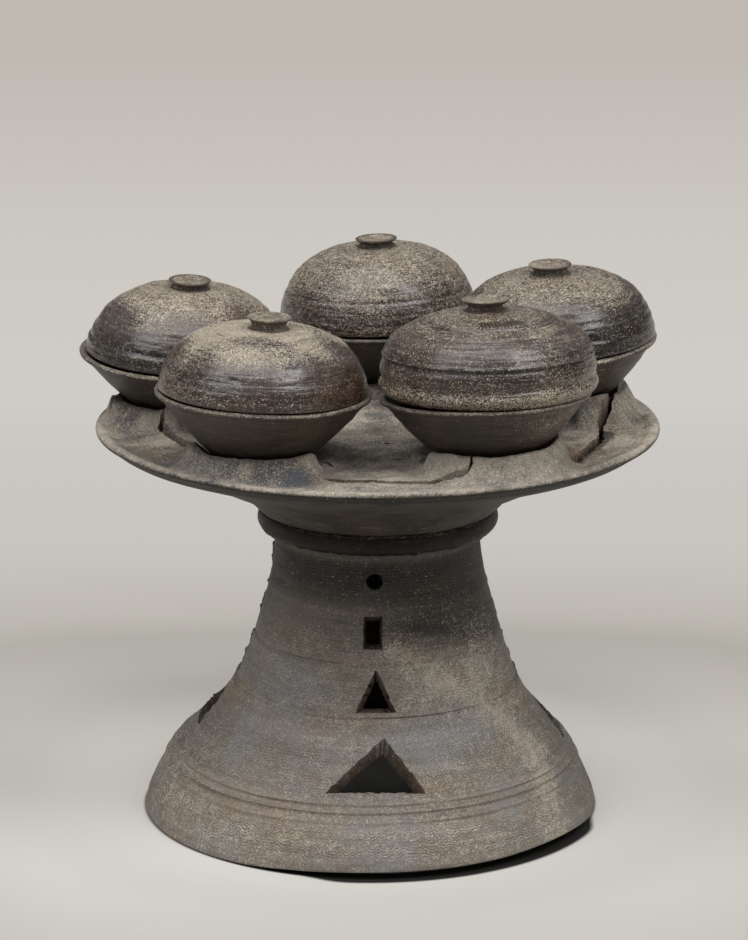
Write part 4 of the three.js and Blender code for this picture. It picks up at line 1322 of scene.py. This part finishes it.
class POTTERY_OT_stage(bpy.types.Operator):
    """Lay the pale studio sweep, hang the soft lights and set up the camera"""

    bl_idname = "pottery.stage"
    bl_label = "Stage"

    def execute(self, context):
        scene = context.scene
        bpy.ops.object.select_all(action="DESELECT")
        bpy.ops.mesh.primitive_plane_add(size=60, location=(0, 0, 0))
        floor = bpy.context.object
        floor.name = "studio_floor"
        floor.data.materials.append(self.sweep())

        for name, (toward, disc, strength, colour) in LAMPS.items():
            light = bpy.data.lights.new(name, "SUN")
            light.energy, light.angle, light.color = strength, math.radians(disc), linear(colour)[:3]
            lamp = bpy.data.objects.new(name, light)
            lamp.rotation_euler = Vector(toward).to_track_quat("Z", "Y").to_euler()
            scene.collection.objects.link(lamp)

        # the studio's ceiling is bright and its walls are dark
        scene.world = bpy.data.worlds.new("studio_air")
        tree = bare_tree(scene.world)
        toward = add(tree, "ShaderNodeTexCoord")
        toward = add(tree, "ShaderNodeSeparateXYZ", [toward], out=2)
        air = remap(tree, toward, 0.0, 1.0, 0.05, 0.6)
        colour = blend(tree, add(tree, "ShaderNodeLightPath"), air, linear(BACKDROP))
        add(tree, "ShaderNodeOutputWorld", [add(tree, "ShaderNodeBackground", [colour, 1.0])])

        camera = bpy.data.objects.new("camera", bpy.data.cameras.new("camera"))
        scene.collection.objects.link(camera)
        camera.location = (AXIS[0] * MM, AXIS[1] * MM - CAMERA_AWAY, CAMERA_UP)
        camera.rotation_euler = (math.radians(90) - CAMERA_DOWN, 0, 0)
        camera.data.lens, camera.data.sensor_width = CAMERA_LENS, 36
        camera.data.shift_x, camera.data.clip_end = CAMERA_SHIFT, 200
        scene.camera = camera
        scene.view_settings.view_transform = "Standard"
        return {"FINISHED"}

    def sweep(self):
        """Painted paper: matte, with painted shadows and painted light in its tone. Near the dish it also takes
        real shadows; farther off it glows with its own plain tone for the camera, as painted light.
        """
        material = bpy.data.materials.new("matte_paper_sweep")
        tree = bare_tree(material)
        place = add(tree, "ShaderNodeTexCoord", out=3)
        parts = add(tree, "ShaderNodeSeparateXYZ", [place])
        y = parts.node.outputs[1]
        away = calc(tree, "ADD", calc(tree, "POWER", parts, 4.0), calc(tree, "POWER", y, 4.0))
        away = calc(tree, "POWER", away, 0.25)
        tone = add(tree, "ShaderNodeValToRGB", [calc(tree, "DIVIDE", away, 4.0, clamp=True)],
                   stops=[(at, linear(colour)) for at, colour in PAPER])
        # just under the ground ring no lamp reaches the paper, and less where its front right has lifted
        ring = add(tree, "ShaderNodeVectorMath", [place, tuple(AXIS * MM + (-0.0052, 0, 0))], out=1,
                   operation="DISTANCE")
        lifted = add(tree, "ShaderNodeVectorMath", [place, (0.5, -0.866, 0)], out=1, operation="DOT_PRODUCT")
        ring = calc(tree, "ADD", ring, remap(tree, lifted, 0.1, 0.13, -0.139, -0.146, soft=True))
        under = remap(tree, calc(tree, "ABSOLUTE", ring), 0.0065, 0.01, 0.04, 1.0, soft=True)
        # painted light: the paper is drawn a little lighter behind the foot than in front of it, and darker
        # again farther back
        back = remap(tree, y, -0.22, 0.1, 0.92, 1.07)
        beyond = remap(tree, y, 0.1, 0.3, 1.0, 0.935)
        # light thrown back by the foot, and the dish's wide shadow behind it
        glow = add(tree, "ShaderNodeVectorMath", [place, (0.0, 0.035, 0)], out=1, operation="DISTANCE")
        glow = remap(tree, glow, 0.145, 0.245, 1.24, 1.0, soft=True)
        dusk = add(tree, "ShaderNodeVectorMath", [place, (0.03, 0.26, 0)], operation="SUBTRACT")
        dusk = add(tree, "ShaderNodeVectorMath", [dusk, (5.0, 11.5, 0)], operation="MULTIPLY")
        dusk = add(tree, "ShaderNodeVectorMath", [dusk], out=1, operation="LENGTH")
        dusk = remap(tree, dusk, 0.0, 2.0, 0.76, 1.0, soft=True)
        near = scaled(tree, tone, product(tree, under, back, beyond, glow, dusk))
        paper = add(tree, "ShaderNodeBsdfDiffuse", [near, 1.0])
        # far off, the tone glows for the camera instead of being lit: painted light
        plain = add(tree, "ShaderNodeEmission", [tone, 1.0])
        far = remap(tree, away, 0.35, 1.0, 0.0, 1.0, soft=True)
        far = product(tree, far, add(tree, "ShaderNodeLightPath"))
        add(tree, "ShaderNodeOutputMaterial", [add(tree, "ShaderNodeMixShader", [far, paper, plain])])
        return material


class POTTERY_PT_panel(bpy.types.Panel):
    """Sizes, colours and one button for each group of pieces"""

    bl_idname = "POTTERY_PT_panel"
    bl_label = "Pedestal dish"
    bl_space_type = "VIEW_3D"
    bl_region_type = "UI"
    bl_category = "Pottery"

    def draw(self, context):
        for group in (context.scene.pottery_sizes, context.scene.pottery_colours):
            box = self.layout.box()
            for key in group.__annotations__:
                box.prop(group, key)
        for step in STEPS:
            self.layout.operator(step.bl_idname)


STEPS = (POTTERY_OT_foot, POTTERY_OT_cordon, POTTERY_OT_dish, POTTERY_OT_bowls, POTTERY_OT_lids,
         POTTERY_OT_knobs, POTTERY_OT_stage)
CLASSES = (PotterySizes, KilnColours) + STEPS + (POTTERY_PT_panel,)


def register():
    for made in CLASSES:
        bpy.utils.register_class(made)
    bpy.types.Scene.pottery_sizes = bpy.props.PointerProperty(type=PotterySizes)
    bpy.types.Scene.pottery_colours = bpy.props.PointerProperty(type=KilnColours)


def unregister():
    del bpy.types.Scene.pottery_sizes
    del bpy.types.Scene.pottery_colours
    for made in reversed(CLASSES):
        bpy.utils.unregister_class(made)


def main():
    register()
    bpy.ops.pottery.foot()
    bpy.ops.pottery.cordon()
    bpy.ops.pottery.dish()
    bpy.ops.pottery.bowls()
    bpy.ops.pottery.lids()
    bpy.ops.pottery.knobs()
    bpy.ops.pottery.stage()


if __name__ == "__main__":
    main()
